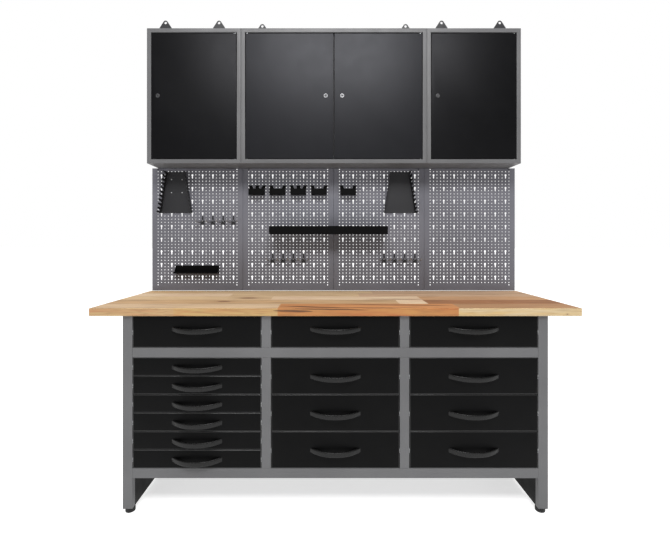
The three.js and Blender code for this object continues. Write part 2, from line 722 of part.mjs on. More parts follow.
// x: left and right side of each cabinet. hinge: -1 for a door hinged on its left, +1 on its
// right; its lock is on the other side. tabs: x of the hanger tabs. rise: their height.
const CABINETS = [
  {
    name: "left",
    x: [-CAB_OUTER, -CAB_INNER - GAP / 2],
    doors: [{ name: "left", hinge: 1 }],
    tabs: [-920, -627],
    rise: TAB_RISE,
  },
  {
    name: "centre",
    x: [GAP / 2 - CAB_INNER, CAB_INNER - GAP / 2],
    doors: [{ name: "centre_left", hinge: -1 }, { name: "centre_right", hinge: 1 }],
    tabs: [-390, 395],
    rise: TAB_RISE_CENTRE,
  },
  {
    name: "right",
    x: [CAB_INNER + GAP / 2, CAB_OUTER],
    doors: [{ name: "right", hinge: 1 }],
    tabs: [592, 911],
    rise: TAB_RISE,
  },
];

for (const { name, x, doors, tabs, rise } of CABINETS) {
  const [open] = doorway(x);
  const isPair = doors.length === 2;
  for (const leaf of doors) {
    leaf.x = [open[0] + DOOR_SIDE_GAP, open[1] - DOOR_SIDE_GAP];
    if (isPair) {
      leaf.x[leaf.hinge < 0 ? 1 : 0] = (leaf.hinge * CENTRE_DOOR_GAP) / 2;
    }
    const inset = isPair ? LOCK_FROM_EDGE_CENTRE : LOCK_FROM_EDGE;
    leaf.lockX = leaf.hinge < 0 ? leaf.x[1] - inset : leaf.x[0] + inset;
  }
  const pivots = doors.map((leaf) => pivotOf(leaf.x, leaf.hinge));
  piece(`cabinet_${name}`, cabinet(x, pivots, tabs, rise, isPair), "grey_steel");
  for (const leaf of doors) {
    piece(`door_${leaf.name}`, door(leaf.x, leaf.hinge, leaf.lockX), "door_steel");
    piece(`lock_${leaf.name}`, camLock(leaf.lockX, isPair ? CAM_REACH_CENTRE : CAM_REACH),
      "chrome");
  }
}

const holderX = (b, column) => (keyX(b, column) + keyX(b, column + 1)) / 2;
const HOLDER_BOTTOM = keyZ(3) + WRENCH_BOTTOM;
const hooks = (b, first, row) => range(4).map((i) => doubleHook(b, first + i, row));

piece("perforated_panel_1", join(
  board(0),
  wrenchHolder(holderX(0, 1), HOLDER_BOTTOM),
  shortShelf(),
  ...hooks(0, 4, 3),
), "board_steel");
piece("perforated_panel_2", join(
  board(1),
  ...range(4).map((i) => bin(1, 2 * i)),
  longShelf(),
  ...hooks(1, 2, 6),
), "board_steel");
piece("perforated_panel_3", join(
  board(2),
  wrenchHolder(holderX(2, 5), HOLDER_BOTTOM),
  bin(2, 0),
  ...hooks(2, 4, 6),
), "board_steel");
piece("perforated_panel_4", board(3), "board_steel");

export default workbench;
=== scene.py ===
import math

import bmesh
import bpy
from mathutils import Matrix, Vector
from mathutils.geometry import tessellate_polygon


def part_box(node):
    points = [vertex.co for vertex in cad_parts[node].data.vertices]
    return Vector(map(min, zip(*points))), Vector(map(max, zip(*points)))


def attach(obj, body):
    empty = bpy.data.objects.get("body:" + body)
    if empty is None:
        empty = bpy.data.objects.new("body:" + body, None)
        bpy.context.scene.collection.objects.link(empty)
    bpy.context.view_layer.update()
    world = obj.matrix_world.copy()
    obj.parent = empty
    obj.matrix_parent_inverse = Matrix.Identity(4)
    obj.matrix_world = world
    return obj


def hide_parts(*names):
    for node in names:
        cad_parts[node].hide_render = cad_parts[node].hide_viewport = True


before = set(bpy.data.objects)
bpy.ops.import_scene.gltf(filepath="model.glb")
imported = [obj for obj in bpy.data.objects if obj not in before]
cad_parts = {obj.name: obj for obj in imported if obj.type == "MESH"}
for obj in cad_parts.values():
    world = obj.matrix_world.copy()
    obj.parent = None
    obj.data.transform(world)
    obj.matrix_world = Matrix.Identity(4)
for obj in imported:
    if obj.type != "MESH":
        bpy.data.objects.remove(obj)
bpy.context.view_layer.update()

MM = 0.001

# ---- Dimensions, in millimetres, where the frame does not give them ----
SHEET = 1.5
TRAY_SHEET = 1.2
FOLD_RADIUS = 2.2
POST_HALF = 19  # divider's folded post, without the slides on it
FRONT_RIM = 14
TRAY_FOOT = 6
TRAY_DROP = 12
TRAY_CLEAR = 10  # tray wall, in from the edge of the drawer front
TRAY_BEAD = 2.6
SLIDE_OUT = 5
SLIDE_HIGH = 16
SLIDE_START = 26  # behind the drawer's face
SLIDE_STOP = 4  # before the tray's rear end
SLIDE_LIP = 3

HANDLE_HALF = 103
HANDLE_HIGH = 20
HANDLE_BAR = 8
HANDLE_FOOT = 17
HANDLE_DROOP = 6
HANDLE_FULLNESS = 2.4

KEY_PITCH_X = 56
KEY_PITCH_Z = 69
KEY_COLUMNS = 8
KEY_ROWS = 9
KEY_TOP_Z = 1469
CELL_X = KEY_PITCH_X / 3
CELL_Z = KEY_PITCH_Z / 4
SMALL_HOLE = 2.6
KEY_HEAD = 5.4
KEY_SLOT = 2.9
KEY_HALF_HIGH = 12
CORNER_HOLE = 3
BOARD_SHEET = 1.2
BOARD_GAP = 0.06

CABINET_TOP = 2204
FLANGE = 21
LIP = 20
MULLION_HALF = 15
MULLION_BEHIND = 21
RIVETS_IN = (60, 180, 300, 420)  # from either end of a cabinet's top
RIVETS_BACK = 26
SHELF_Z = 1925
SHELF_IN = 36  # shelf, behind the cabinet's face
SHELF_RIM = 12
TAB_HALF = 33
TAB_HEAD = 13
TAB_HOLE = 7
TAB_TAPER = 40
TAB_THICK = 3
TAB_OVERLAP = 10
TAB_LEAN = 36  # degrees of the round head that its shoulders leave out
DOOR_DEEP = 18
PIVOT_IN = 8
PIVOT_BACK = 6
PIN_OUT = 7
PIN_LONGER = 2.5  # more at the top, where the gap is wider
LOCK_HEAD = 11
LOCK_HOLE = 9.7
LOCK_PLUG = 6.2
LOCK_BARREL = 8.6
LOCK_NUT = 12.5
CAM_HALF = 7

HOLDER_TOP_HALF = 50
HOLDER_BOTTOM_HALF = 85
HOLDER_HIGH = 225
HOLDER_CHEEK = 50
HOLDER_ABOVE_ROW = 6.5
HOLDER_TEETH = 10
HOLDER_FLARE = 0.13  # the cheeks lean outwards
HOLDER_FOLD_DROP = 16
HOLDER_SCREWS_X = 29
HOLDER_SCREWS_UP = (112, 183)

BIN_HALF = 41.5
BIN_DEEP = 40
BIN_HIGH = 32
BIN_BACK_HIGH = 36
BIN_EAR = 18
BIN_DROP = 34
LONG_SHELF_DEEP = 120
LONG_SHELF_HIGH = 42
LONG_SHELF_DROP = 40
LONG_SHELF_SPARE = 4
SHORT_SHELF_DEEP = 38
SHORT_SHELF_HALF = 118
SHORT_SHELF_LIP = 9
SHORT_SHELF_BACK = 41
SHORT_SHELF_DROP = 43
HOOK_HALF = 26
HOOK_REACH = 38
HOOK_RISE = 12
HOOK_WIRE = 2.3
HOOK_SAG = 4
HOOK_DROP = 40


def corners(node):
    """Lowest and highest corner of a CAD node, in millimetres."""
    low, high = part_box(node)
    return low / MM, high / MM


# ---- Camera, floor and light ----

def make_camera():
    data = bpy.data.cameras.new("camera")
    data.lens = 22.5
    data.sensor_width = 36
    data.shift_x = 0.0104
    data.shift_y = -0.0407
    camera = bpy.data.objects.new("camera", data)
    camera.location = (-0.030, -1.989, 1.1187)
    camera.rotation_euler = (math.radians(90), 0, 0)
    bpy.context.scene.collection.objects.link(camera)
    bpy.context.scene.camera = camera


def make_floor():
    half = 60  # metres, wide enough to reach the white horizon
    mesh = bpy.data.meshes.new("floor")
    mesh.from_pydata(
        [(-half, -half, 0), (half, -half, 0), (half, half, 0), (-half, half, 0)], [], [(0, 1, 2, 3)]
    )
    floor = bpy.data.objects.new("floor", mesh)
    bpy.context.scene.collection.objects.link(floor)
    material = bpy.data.materials.new("floor")
    material.use_nodes = True
    shader = material.node_tree.nodes["Principled BSDF"]
    shader.inputs["Base Color"].default_value = (0.8, 0.8, 0.8, 1)
    shader.inputs["Emission Color"].default_value = (1, 1, 1, 1)
    shader.inputs["Emission Strength"].default_value = 0.62
    shader.inputs["Roughness"].default_value = 0.9
    shader.inputs["Specular IOR Level"].default_value = 0.1
    mesh.materials.append(material)


def area_light(name, place, target, width, height, watts):
    data = bpy.data.lights.new(name, "AREA")
    data.shape = "RECTANGLE"
    data.size = width
    data.size_y = height
    data.energy = watts
    light = bpy.data.objects.new(name, data)
    light.location = place
    aim = Vector(target) - Vector(place)
    light.rotation_euler = aim.to_track_quat("-Z", "Y").to_euler()
    bpy.context.scene.collection.objects.link(light)


def make_light():
    """White surroundings for the camera, dimmer ones for the surfaces, a soft box and a soft sky."""
    world = bpy.data.worlds.new("studio")
    world.use_nodes = True
    nodes, links = world.node_tree.nodes, world.node_tree.links
    fill = nodes["Background"]
    fill.inputs["Strength"].default_value = 0.28
    seen = nodes.new("ShaderNodeBackground")
    seen.inputs["Strength"].default_value = 1.0
    for shade in (fill, seen):
        shade.inputs["Color"].default_value = (1, 1, 1, 1)
    path = nodes.new("ShaderNodeLightPath")
    mix = nodes.new("ShaderNodeMixShader")
    links.new(path.outputs["Is Camera Ray"], mix.inputs["Fac"])
    links.new(fill.outputs[0], mix.inputs[1])
    links.new(seen.outputs[0], mix.inputs[2])
    links.new(mix.outputs[0], nodes["World Output"].inputs["Surface"])
    scene = bpy.context.scene
    scene.world = world
    scene.view_settings.view_transform = "Standard"
    area_light("front_light", place=(0, -3.3, 4.1), target=(0, 0.2, 1.5), width=2.7, height=1.3, watts=202)
    overhead = bpy.data.lights.new("overhead", "SUN")
    overhead.energy = 1.9
    overhead.angle = math.radians(70)
    sky = bpy.data.objects.new("overhead", overhead)
    bpy.context.scene.collection.objects.link(sky)


# ---- Materials ----

class Paint:
    """Builds one node material; its coordinates are the object's own, in metres."""

    def __init__(self, name):
        self.material = bpy.data.materials.new(name)
        self.material.use_nodes = True
        self.tree = self.material.node_tree
        self.shader = self.tree.nodes["Principled BSDF"]
        self.space = self.node("ShaderNodeTexCoord").outputs["Object"]

    def node(self, kind, **values):
        made = self.tree.nodes.new(kind)
        for key, value in values.items():
            setattr(made, key, value)
        return made

    def link(self, source, target):
        self.tree.links.new(source, target)

    def set(self, **values):
        """Uniform values, set on the shader's own sockets."""
        for key, value in values.items():
            self.shader.inputs[key.replace("_", " ")].default_value = value

    def stretched(self, scale):
        mapping = self.node("ShaderNodeMapping")
        mapping.inputs["Scale"].default_value = scale
        self.link(self.space, mapping.inputs["Vector"])
        return mapping.outputs["Vector"]

    def noise(self, scale, detail=3, rough=0.5, space=None, distortion=0):
        noise = self.node("ShaderNodeTexNoise")
        noise.inputs["Scale"].default_value = scale
        noise.inputs["Detail"].default_value = detail
        noise.inputs["Roughness"].default_value = rough
        noise.inputs["Distortion"].default_value = distortion
        self.link(space or self.space, noise.inputs["Vector"])
        return noise.outputs["Fac"]

    def ramp(self, factor, stops, constant=False):
        """Colour or grey ramp; stops are (position, colour or value)."""
        ramp = self.node("ShaderNodeValToRGB")
        ramp.color_ramp.interpolation = "CONSTANT" if constant else "LINEAR"
        elements = ramp.color_ramp.elements
        while len(elements) < len(stops):
            elements.new(0.5)
        for element, (position, value) in zip(elements, stops):
            element.position = position
            rgb = (value,) * 3 if isinstance(value, (int, float)) else value
            element.color = (*rgb, 1)
        self.link(factor, ramp.inputs["Fac"])
        return ramp.outputs["Color"]

    def math(self, operation, a, b=0.0):
        made = self.node("ShaderNodeMath", operation=operation)
        for socket, value in zip(made.inputs, (a, b)):
            if isinstance(value, (int, float)):
                socket.default_value = value
            else:
                self.link(value, socket)
        return made.outputs[0]

    def mix(self, factor, a, b, blend="MIX"):
        made = self.node("ShaderNodeMix", data_type="RGBA", blend_type=blend)
        for socket, value in ((made.inputs[0], factor), (made.inputs[6], a), (made.inputs[7], b)):
            if isinstance(value, (int, float)):
                socket.default_value = value
            elif isinstance(value, tuple):
                socket.default_value = (*value, 1)
            else:
                self.link(value, socket)
        return made.outputs[2]

    def bump(self, height, strength, distance, below=None):
        bump = self.node("ShaderNodeBump")
        bump.inputs["Strength"].default_value = strength
        bump.inputs["Distance"].default_value = distance
        self.link(height, bump.inputs["Height"])
        if below is not None:
            self.link(below, bump.inputs["Normal"])
        return bump.outputs["Normal"]


def powder_coat(name, colour, rough, specular, variation=0.12, mottle=0.06, wave=0.04, sheen=(1, 1, 1)):
    """Baked powder paint: orange peel, cloudy tone, faint rubbed streaks and dull spots."""
    paint = Paint(name)
    cloud = paint.noise(2.6, detail=4)
    dark = tuple(c * (1 - variation) for c in colour)
    light = tuple(c * (1 + variation) for c in colour)
    base = paint.ramp(cloud, [(0.3, dark), (0.7, light)])
    speck = paint.noise(1500, detail=2)
    base = paint.mix(0.35, base, paint.ramp(speck, [(0.3, 0.36), (0.7, 0.64)]), "OVERLAY")
    rub = paint.noise(9, detail=6, rough=0.7, space=paint.stretched((1, 1, 7)))
    base = paint.mix(paint.ramp(rub, [(0.62, 0.0), (0.8, 0.25)]), base, light)
    paint.link(base, paint.shader.inputs["Base Color"])
    dull = paint.noise(14, detail=5, rough=0.6)
    span = paint.ramp(dull, [(0.3, rough - mottle), (0.7, rough + mottle)])
    paint.link(span, paint.shader.inputs["Roughness"])
    peel = paint.bump(paint.noise(520, detail=2), 0.35, 0.0004)
    waves = paint.bump(paint.noise(3.5, detail=2), wave, 0.002, below=peel)
    paint.link(waves, paint.shader.inputs["Normal"])
    paint.set(Specular_IOR_Level=specular, Specular_Tint=(*sheen, 1))
    return paint.material


def moulded_plastic(name, colour, rough):
    """Black glass-filled plastic with a fine eroded grain and handling marks."""
    paint = Paint(name)
    cloud = paint.noise(30, detail=3)
    dark = tuple(c * 0.85 for c in colour)
    light = tuple(c * 1.2 for c in colour)
    base = paint.ramp(cloud, [(0.3, dark), (0.7, light)])
    paint.link(base, paint.shader.inputs["Base Color"])
    worn = paint.noise(60, detail=5, rough=0.65)
    paint.link(paint.ramp(worn, [(0.35, rough - 0.08), (0.7, rough + 0.1)]), paint.shader.inputs["Roughness"])
    paint.link(paint.bump(paint.noise(1400, detail=2), 0.3, 0.0003), paint.shader.inputs["Normal"])
    paint.set(Specular_IOR_Level=0.24)
    return paint.material


def bare_metal(name, colour, rough, spangle=0.12):
    """Plated steel with fine drawing lines and a faint crystal pattern."""
    paint = Paint(name)
    crystal = paint.node("ShaderNodeTexVoronoi")
    crystal.inputs["Scale"].default_value = 120
    paint.link(paint.space, crystal.inputs["Vector"])
    low = tuple(c * (1 - spangle) for c in colour)
    base = paint.mix(crystal.outputs["Color"], low, colour)
    lines = paint.noise(40, detail=4, space=paint.stretched((1, 1, 40)))
    base = paint.mix(0.25, base, paint.ramp(lines, [(0.3, 0.4), (0.7, 0.62)]), "OVERLAY")
    paint.link(base, paint.shader.inputs["Base Color"])
    paint.link(paint.ramp(lines, [(0.3, rough - 0.06), (0.7, rough + 0.1)]), paint.shader.inputs["Roughness"])
    paint.link(paint.bump(lines, 0.1, 0.0003), paint.shader.inputs["Normal"])
    paint.set(Metallic=1.0)
    return paint.material


CREAM = (0.64, 0.47, 0.31)
TAN = (0.53, 0.35, 0.185)
SAND = (0.55, 0.385, 0.22)
DUN = (0.47, 0.31, 0.195)
RUSSET = (0.46, 0.265, 0.138)
BROWN = (0.28, 0.125, 0.055)
HEART = (0.46, 0.20, 0.075)
DARK_WOOD = (0.05, 0.022, 0.012)
STREAK_EDGE = (0.22, 0.085, 0.03)
FLAME = (0.30, 0.15, 0.06)
PORE = (0.20, 0.095, 0.04)
KNOT_WOOD = (0.14, 0.05, 0.02)
# staves of the top, row by row from the front: where each starts along X, in metres, and its colour
TOP_STAVES = [
    [(-1.0, (0.52, 0.37, 0.23)), (-0.236, HEART), (0.505, (0.35, 0.19, 0.095))],
    [(-1.0, (0.46, 0.295, 0.155)), (0.28, CREAM), (0.40, BROWN)],
    [(-1.0, SAND), (-0.3, CREAM), (0.40, RUSSET)],
    [(-1.0, CREAM), (-0.52, SAND), (0.12, DUN)],
    [(-1.0, TAN), (-0.71, SAND), (0.2, DUN)],
]
# the same for the front edge, which is one row
FRONT_STAVES = [[
    (-1.0, (0.82, 0.50, 0.24)), (-0.66, (0.82, 0.52, 0.205)),
    (-0.236, (0.74, 0.31, 0.09)), (0.5, (1.0, 0.77, 0.42)),
]]
# In the next two lists, depth is measured from the front arris, in metres: back over the top, or,
# where it is negative, down the front edge.
# X, depth and radius of the knots
KNOTS = [(-0.50, 0.192, 0.013), (-0.412, 0.304, 0.018), (0.94, -0.024, 0.0016)]
# dark streaks of the heartwood: X and depth of one end, X and depth of the other, half width
STREAKS = [
    (-0.255, -0.0095, -0.09, -0.0130, 0.0034),
    (-0.245, 0.062, 0.06, 0.006, 0.011),
    (-0.17, -0.0020, 0.14, -0.0065, 0.0021),
    (0.02, 0.022, 0.26, 0.004, 0.006),
    (0.04, 0.105, 0.50, 0.070, 0.007),
    (0.14, 0.270, 0.42, 0.262, 0.007),
]
JOINT = 0.0007


def stave_colours(paint, share, row, rows):
    """Colour of each stave, by its share of the length and its row."""
    low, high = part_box("worktop")
    tone = None
    for index, staves in enumerate(rows):
        stops = []
        for start, colour in staves:
            at = (start - low.x) / (high.x - low.x)
            stops += [(at - JOINT / 2, DARK_WOOD)] if stops else []
            stops.append((at, colour))
        colours = paint.ramp(share, stops, constant=True)
        tone = paint.mix(paint.math("GREATER_THAN", row, index - 0.5), tone, colours) if index else colours
    return tone


def streaked(paint, tone, x, depth):
    """Adds the dark streaks, tapered to both ends, with a brown edge."""
    wander = paint.math("SUBTRACT", paint.noise(9, detail=3), 0.5)
    for x0, depth0, x1, depth1, half in STREAKS:
        along = paint.math("DIVIDE", paint.math("SUBTRACT", x, x0), x1 - x0)
        line = paint.math("ADD", paint.math("MULTIPLY", along, depth1 - depth0), depth0)
        line = paint.math("ADD", line, paint.math("MULTIPLY", wander, 2.5 * half))
        left = paint.math("MULTIPLY", along, paint.math("SUBTRACT", 1.0, along))
        taper = paint.math("SQRT", paint.math("MAXIMUM", paint.math("MULTIPLY", left, 4.0), 0.0))
        off = paint.math("DIVIDE", paint.math("ABSOLUTE", paint.math("SUBTRACT", depth, line)), half)
        inside = paint.math("SUBTRACT", taper, off)
        halo = paint.math("SUBTRACT", paint.math("MULTIPLY", taper, 2.4), off)
        tone = paint.mix(paint.ramp(halo, [(0.0, 0.0), (1.0, 0.4)]), tone, STREAK_EDGE)
        tone = paint.mix(paint.ramp(inside, [(0.0, 0.0), (0.45, 0.93)]), tone, DARK_WOOD)
    return tone


def knotted(paint, tone, x, depth):
    """Adds the knots, drawn out along the stave."""
    fade = [(0.0, 0.9), (0.22, 0.75), (0.34, 0.2), (0.9, 0.0)]
    for knot_x, knot_depth, radius in KNOTS:
        along = paint.math("MULTIPLY", paint.math("SUBTRACT", x, knot_x), 0.5)
        across = paint.math("SUBTRACT", depth, knot_depth)
        far = paint.math("SQRT", paint.math(
            "ADD", paint.math("MULTIPLY", along, along), paint.math("MULTIPLY", across, across)
        ))
        ring = paint.ramp(paint.math("DIVIDE", far, radius * 4), fade)
        tone = paint.mix(ring, tone, KNOT_WOOD)
    return tone


def oiled_wood(name, rows):
    """Glued block of staves along X; grain, pores, streaks and knots differ from stave to stave."""
    paint = Paint(name)
    low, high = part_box("worktop")
    wide = (high.y - low.y) / len(rows)
    axes = paint.node("ShaderNodeSeparateXYZ")
    paint.link(paint.space, axes.inputs[0])
    x = axes.outputs["X"]
    over = paint.math("SUBTRACT", axes.outputs["Y"], low.y)
    depth = paint.math("ADD", over, paint.math("SUBTRACT", axes.outputs["Z"], high.z))
    share = paint.math("DIVIDE", paint.math("SUBTRACT", x, low.x), high.x - low.x)
    place = paint.math("DIVIDE", over, wide)
    tone = stave_colours(paint, share, paint.math("FLOOR", place), rows)
    # each stave's colour shifts its own grain
    jump = paint.node("ShaderNodeVectorMath", operation="SCALE")
    paint.link(tone, jump.inputs[0])
    jump.inputs["Scale"].default_value = 9.0
    own = paint.node("ShaderNodeVectorMath", operation="ADD")
    paint.link(paint.space, own.inputs[0])
    paint.link(jump.outputs[0], own.inputs[1])

    def grain(scale, stretch, detail, rough=0.55, distortion=0.0, tilt=0.0):
        mapping = paint.node("ShaderNodeMapping")
        mapping.inputs["Rotation"].default_value = (0, 0, math.radians(tilt))
        mapping.inputs["Scale"].default_value = stretch
        paint.link(own.outputs[0], mapping.inputs["Vector"])
        return paint.noise(scale, detail, rough, mapping.outputs["Vector"], distortion)

    figure = grain(6, (0.5, 6, 6), 5, 0.6, 0.9)
    tone = paint.mix(0.9, tone, paint.ramp(figure, [(0.3, 0.33), (0.5, 0.52), (0.72, 0.64)]), "OVERLAY")
    flame = paint.ramp(grain(9, (0.25, 5, 5), 3, 0.5, 1.5, 3), [(0.44, 0.0), (0.5, 0.55), (0.56, 0.0)])
    tone = paint.mix(flame, tone, paint.mix(0.55, tone, FLAME))
    fibre = grain(60, (0.25, 8, 8), 4)
    tone = paint.mix(0.6, tone, paint.ramp(fibre, [(0.3, 0.38), (0.7, 0.6)]), "OVERLAY")
    pores = grain(220, (0.08, 6, 6), 2)
    tone = paint.mix(paint.ramp(pores, [(0.64, 0.0), (0.76, 0.5)]), tone, PORE)
    tone = streaked(paint, tone, x, depth)
    tone = knotted(paint, tone, x, depth)
    side = paint.math("ABSOLUTE", paint.math("SUBTRACT", paint.math("FRACT", place), 0.5))
    seam = paint.math("GREATER_THAN", side, 0.5 - JOINT / wide)
    tone = paint.mix(paint.math("MULTIPLY", seam, 0.6), tone, DARK_WOOD)
    paint.link(tone, paint.shader.inputs["Base Color"])
    paint.link(paint.ramp(fibre, [(0.3, 0.42), (0.7, 0.6)]), paint.shader.inputs["Roughness"])
    fine = paint.bump(fibre, 0.18, 0.0006)
    paint.link(paint.bump(pores, 0.2, 0.0004, below=fine), paint.shader.inputs["Normal"])
    paint.set(Specular_IOR_Level=0.3)
    return paint.material


GREY = powder_coat("grey_steel", (0.098, 0.098, 0.101), 0.42, 0.25)
BOARD_GREY = powder_coat("board_steel", (0.116, 0.116, 0.134), 0.45, 0.3)
BLACK = powder_coat("black_steel", (0.0019, 0.0019, 0.0020), 0.48, 0.07, variation=0.2)
# Lighter, glossier copy of the black drawer paint for the fronts' folded rims: a painted highlight along the
# drawers' edges.
HIGHLIT_RIM_BLACK = powder_coat("black_steel_rim_painted_highlight", (0.006, 0.006, 0.006), 0.34, 0.7)
DOOR_BLACK = powder_coat(
    "door_steel_black", (0.0012, 0.0012, 0.0014), 0.40, 0.135,
    mottle=0.02, wave=0.01, sheen=(0.94, 0.94, 1),
)
# Lighter, glossier copy of the black door paint for the centre doors: painted reflection, for the stronger
# light on the centre cabinet.
DOOR_BLACK_HIGHLIT = powder_coat(
    "door_steel_black_painted_reflection", (0.0026, 0.0026, 0.0034), 0.42, 0.235,
    mottle=0.02, wave=0.01, sheen=(0.92, 0.93, 1),
)
HOLDER_BLACK = powder_coat("holder_steel", (0.012, 0.012, 0.014), 0.45, 0.35)
TRAY_BLACK = powder_coat("tray_steel", (0.0016, 0.0016, 0.0017), 0.5, 0.06, variation=0.2)
PLASTIC = moulded_plastic("black_plastic", (0.0028, 0.0028, 0.0028), 0.29)
ZINC = bare_metal("zinc_plate", (0.55, 0.56, 0.57), 0.34)
CHROME = bare_metal("satin_chrome", (0.25, 0.25, 0.26), 0.42, spangle=0.03)
# Darker copy of the lock chrome: painted shade on the side locks' heads, and the plugs' own dull finish.
DULL_AND_SHADED_CHROME = bare_metal("dull_chrome_and_painted_shade", (0.060, 0.060, 0.062), 0.45, spangle=0.03)
WOOD = oiled_wood("oiled_wood", TOP_STAVES)
WOOD_FRONT = oiled_wood("oiled_wood_front", FRONT_STAVES)


# ---- Mesh building, in millimetres ----

class Shape:
    """Points and faces of one piece."""

    def __init__(self):
        self.points = []
        self.faces = []
        self.paints = []
        self.paint = 0

    def add(self, points, faces):
        start = len(self.points)
        self.points.extend(tuple(p) for p in points)
        for face in faces:
            self.faces.append([start + i for i in face])
            self.paints.append(self.paint)

    def rings(self, rings, caps=True):
        """Skin over rings of equally many points."""
        count = len(rings[0])
        last = (len(rings) - 1) * count
        faces = []
        for a in range(0, last, count):
            b = a + count
            for i in range(count):
                j = (i + 1) % count
                faces.append((a + i, a + j, b + j, b + i))
        if caps:
            faces.append(tuple(reversed(range(count))))
            faces.append(tuple(last + i for i in range(count)))
        self.add([p for ring in rings for p in ring], faces)

    def block(self, x, y, z):
        ring = [(x[0], y[0]), (x[1], y[0]), (x[1], y[1]), (x[0], y[1])]
        self.rings([[(px, py, pz) for px, py in ring] for pz in z])

    def nest(self, levels, axis, caps=True):
        """Rectangles nested like a folded tray: levels are (a0, a1, b0, b1, height)."""
        turn = {
            "y": lambda a, b, h: (a, h, b),
            "z": lambda a, b, h: (a, b, h),
        }[axis]
        rings = [
            [turn(a, b, h) for a, b in ((a0, b0), (a1, b0), (a1, b1), (a0, b1))]
            for a0, a1, b0, b1, h in levels
        ]
        self.rings(rings, caps=caps)

    def turned(self, profile, centre, axis, sides=32):
        """Round body; profile is (radius, height along the axis), closed by its end caps."""
        x, y, z = centre
        spot = {
            "y": lambda c, s, h: (x + c, y + h, z + s),
            "z": lambda c, s, h: (x + c, y + s, z + h),
        }[axis]
        self.rings([
            [
                spot(radius * math.cos(math.tau * i / sides), radius * math.sin(math.tau * i / sides), height)
                for i in range(sides)
            ]
            for radius, height in profile
        ])

    def face(self, outline, holes, place, depths):
        """Flat face with holes, once at each depth; place(a, b, depth) gives a point."""
        points, triangles = tile(outline, holes)
        for depth in depths:
            self.add([place(a, b, depth) for a, b in points], triangles)

    def wall(self, loop, place, depths):
        """Wall along an outline, between two depths."""
        count = len(loop)
        self.add(
            [place(a, b, depth) for depth in depths for a, b in loop],
            [(i, (i + 1) % count, count + (i + 1) % count, count + i) for i in range(count)],
        )

    def plate(self, outline, place, thick, holes=()):
        """Flat plate with holes."""
        self.face(outline, holes, place, (0, thick))
        for loop in (outline, *holes):
            self.wall(loop, place, (0, thick))


def tile(outline, holes):
    """Triangles of a flat face with holes: (points, triangles)."""
    loops = [[Vector((a, b, 0)) for a, b in loop] for loop in (outline, *holes)]
    return [(point.x, point.y) for loop in loops for point in loop], tessellate_polygon(loops)


def fold():
    """Inset and depth of the points along a fold, from the sheet's face to its rim."""
    steps = 4
    turns = [math.radians(90 * k / steps) for k in range(steps + 1)]
    return [(FOLD_RADIUS * (1 - math.sin(turn)), FOLD_RADIUS * (1 - math.cos(turn))) for turn in turns]


def folded_rim(shape, x, z, front, depth, sheet=SHEET):
    """Rim folded back round a flat front; returns the outline that the front has left."""
    r = FOLD_RADIUS
    levels = fold() + [(0, depth), (sheet, depth), (sheet, r), (r, sheet)]
    shape.nest([(x[0] + i, x[1] - i, z[0] + i, z[1] - i, front + y) for i, y in levels], "y", caps=False)
    return [(x[0] + r, z[0] + r), (x[1] - r, z[0] + r), (x[1] - r, z[1] - r), (x[0] + r, z[1] - r)]


def upright(front):
    """Places an (x, z) outline on a sheet that faces -Y."""
    return lambda a, b, depth: (a, front + depth, b)


def circle(x, z, radius, sides):
    turns = [math.tau * (i + 0.5) / sides for i in range(sides)]
    return [(x + radius * math.cos(turn), z + radius * math.sin(turn)) for turn in turns]


def build(shape, name, body, materials, bevel=0.0, stands_for=()):
    """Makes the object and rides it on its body."""
    mesh = bpy.data.meshes.new(name)
    mesh.from_pydata([(x * MM, y * MM, z * MM) for x, y, z in shape.points], [], shape.faces)
    for material in materials:
        mesh.materials.append(material)
    mesh.polygons.foreach_set("material_index", shape.paints)
    mesh.update()
    outward(mesh)
    mesh.shade_smooth()
    mesh.set_sharp_from_angle(angle=math.radians(35))
    piece = bpy.data.objects.new(name, mesh)
    bpy.context.scene.collection.objects.link(piece)
    if bevel:
        soften(piece, bevel)
    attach(piece, body)
    if stands_for:
        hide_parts(*stands_for)


def outward(mesh):
    """Joins faces that meet and turns them outwards."""
    body = bmesh.new()
    body.from_mesh(mesh)
    bmesh.ops.remove_doubles(body, verts=body.verts, dist=0.00001)
    bmesh.ops.recalc_face_normals(body, faces=body.faces)
    body.to_mesh(mesh)
    body.free()


def soften(piece, width):
    bevel = piece.modifiers.new("soft_edges", "BEVEL")
    bevel.width = width * MM
    bevel.segments = 2
    bevel.limit_method = "ANGLE"
    bevel.angle_limit = math.radians(40)
    bevel.harden_normals = True


# ---- CAD nodes that stay ----

def dress(node, materials, bevel, choose=None):
    """New materials and soft edges on a CAD node; choose(x, y, z) in mm gives a face's material."""
    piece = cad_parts[node]
    piece.data.materials.clear()
    for material in materials:
        piece.data.materials.append(material)
    for face in piece.data.polygons:
        face.material_index = choose(*(face.center / MM)) if choose else 0
    weld = piece.modifiers.new("weld", "WELD")
    weld.merge_threshold = 0.00001
    soften(piece, bevel)


def dress_frame():
    front = corners("worktop")[0].y
    dress("worktop", [WOOD, WOOD_FRONT], 1.2, choose=lambda x, y, z: 1 if y < front + 2 else 0)
    for side in ("left", "right"):
        for end in ("front", "rear"):
            dress(f"{end}_leg_{side}", [GREY], 1.4)
    dress("mid_rail", [GREY], 0.7)
    dress("floor_and_back", [GREY], 0.7)
    inner = corners("front_leg_right")[0].x
    for side in ("left", "right"):
        dress(
            f"side_panel_{side}", [BLACK, ZINC], 0.6,
            choose=lambda x, y, z: 1 if abs(x) < inner - 0.2 else 0,
        )
        low, high = corners(f"divider_{side}")
        centre = (low.x + high.x) / 2
        dress(
            f"divider_{side}", [GREY, ZINC], 0.6,
            choose=lambda x, y, z, c=centre: 1 if abs(x - c) > POST_HALF + 0.2 else 0,
        )


# ---- Wall cabinets ----

CABINET_LOW, CABINET_HIGH = corners("cabinet_centre")
TABS = {"left": (-920, -627), "centre": (-390, 395), "right": (592, 911)}


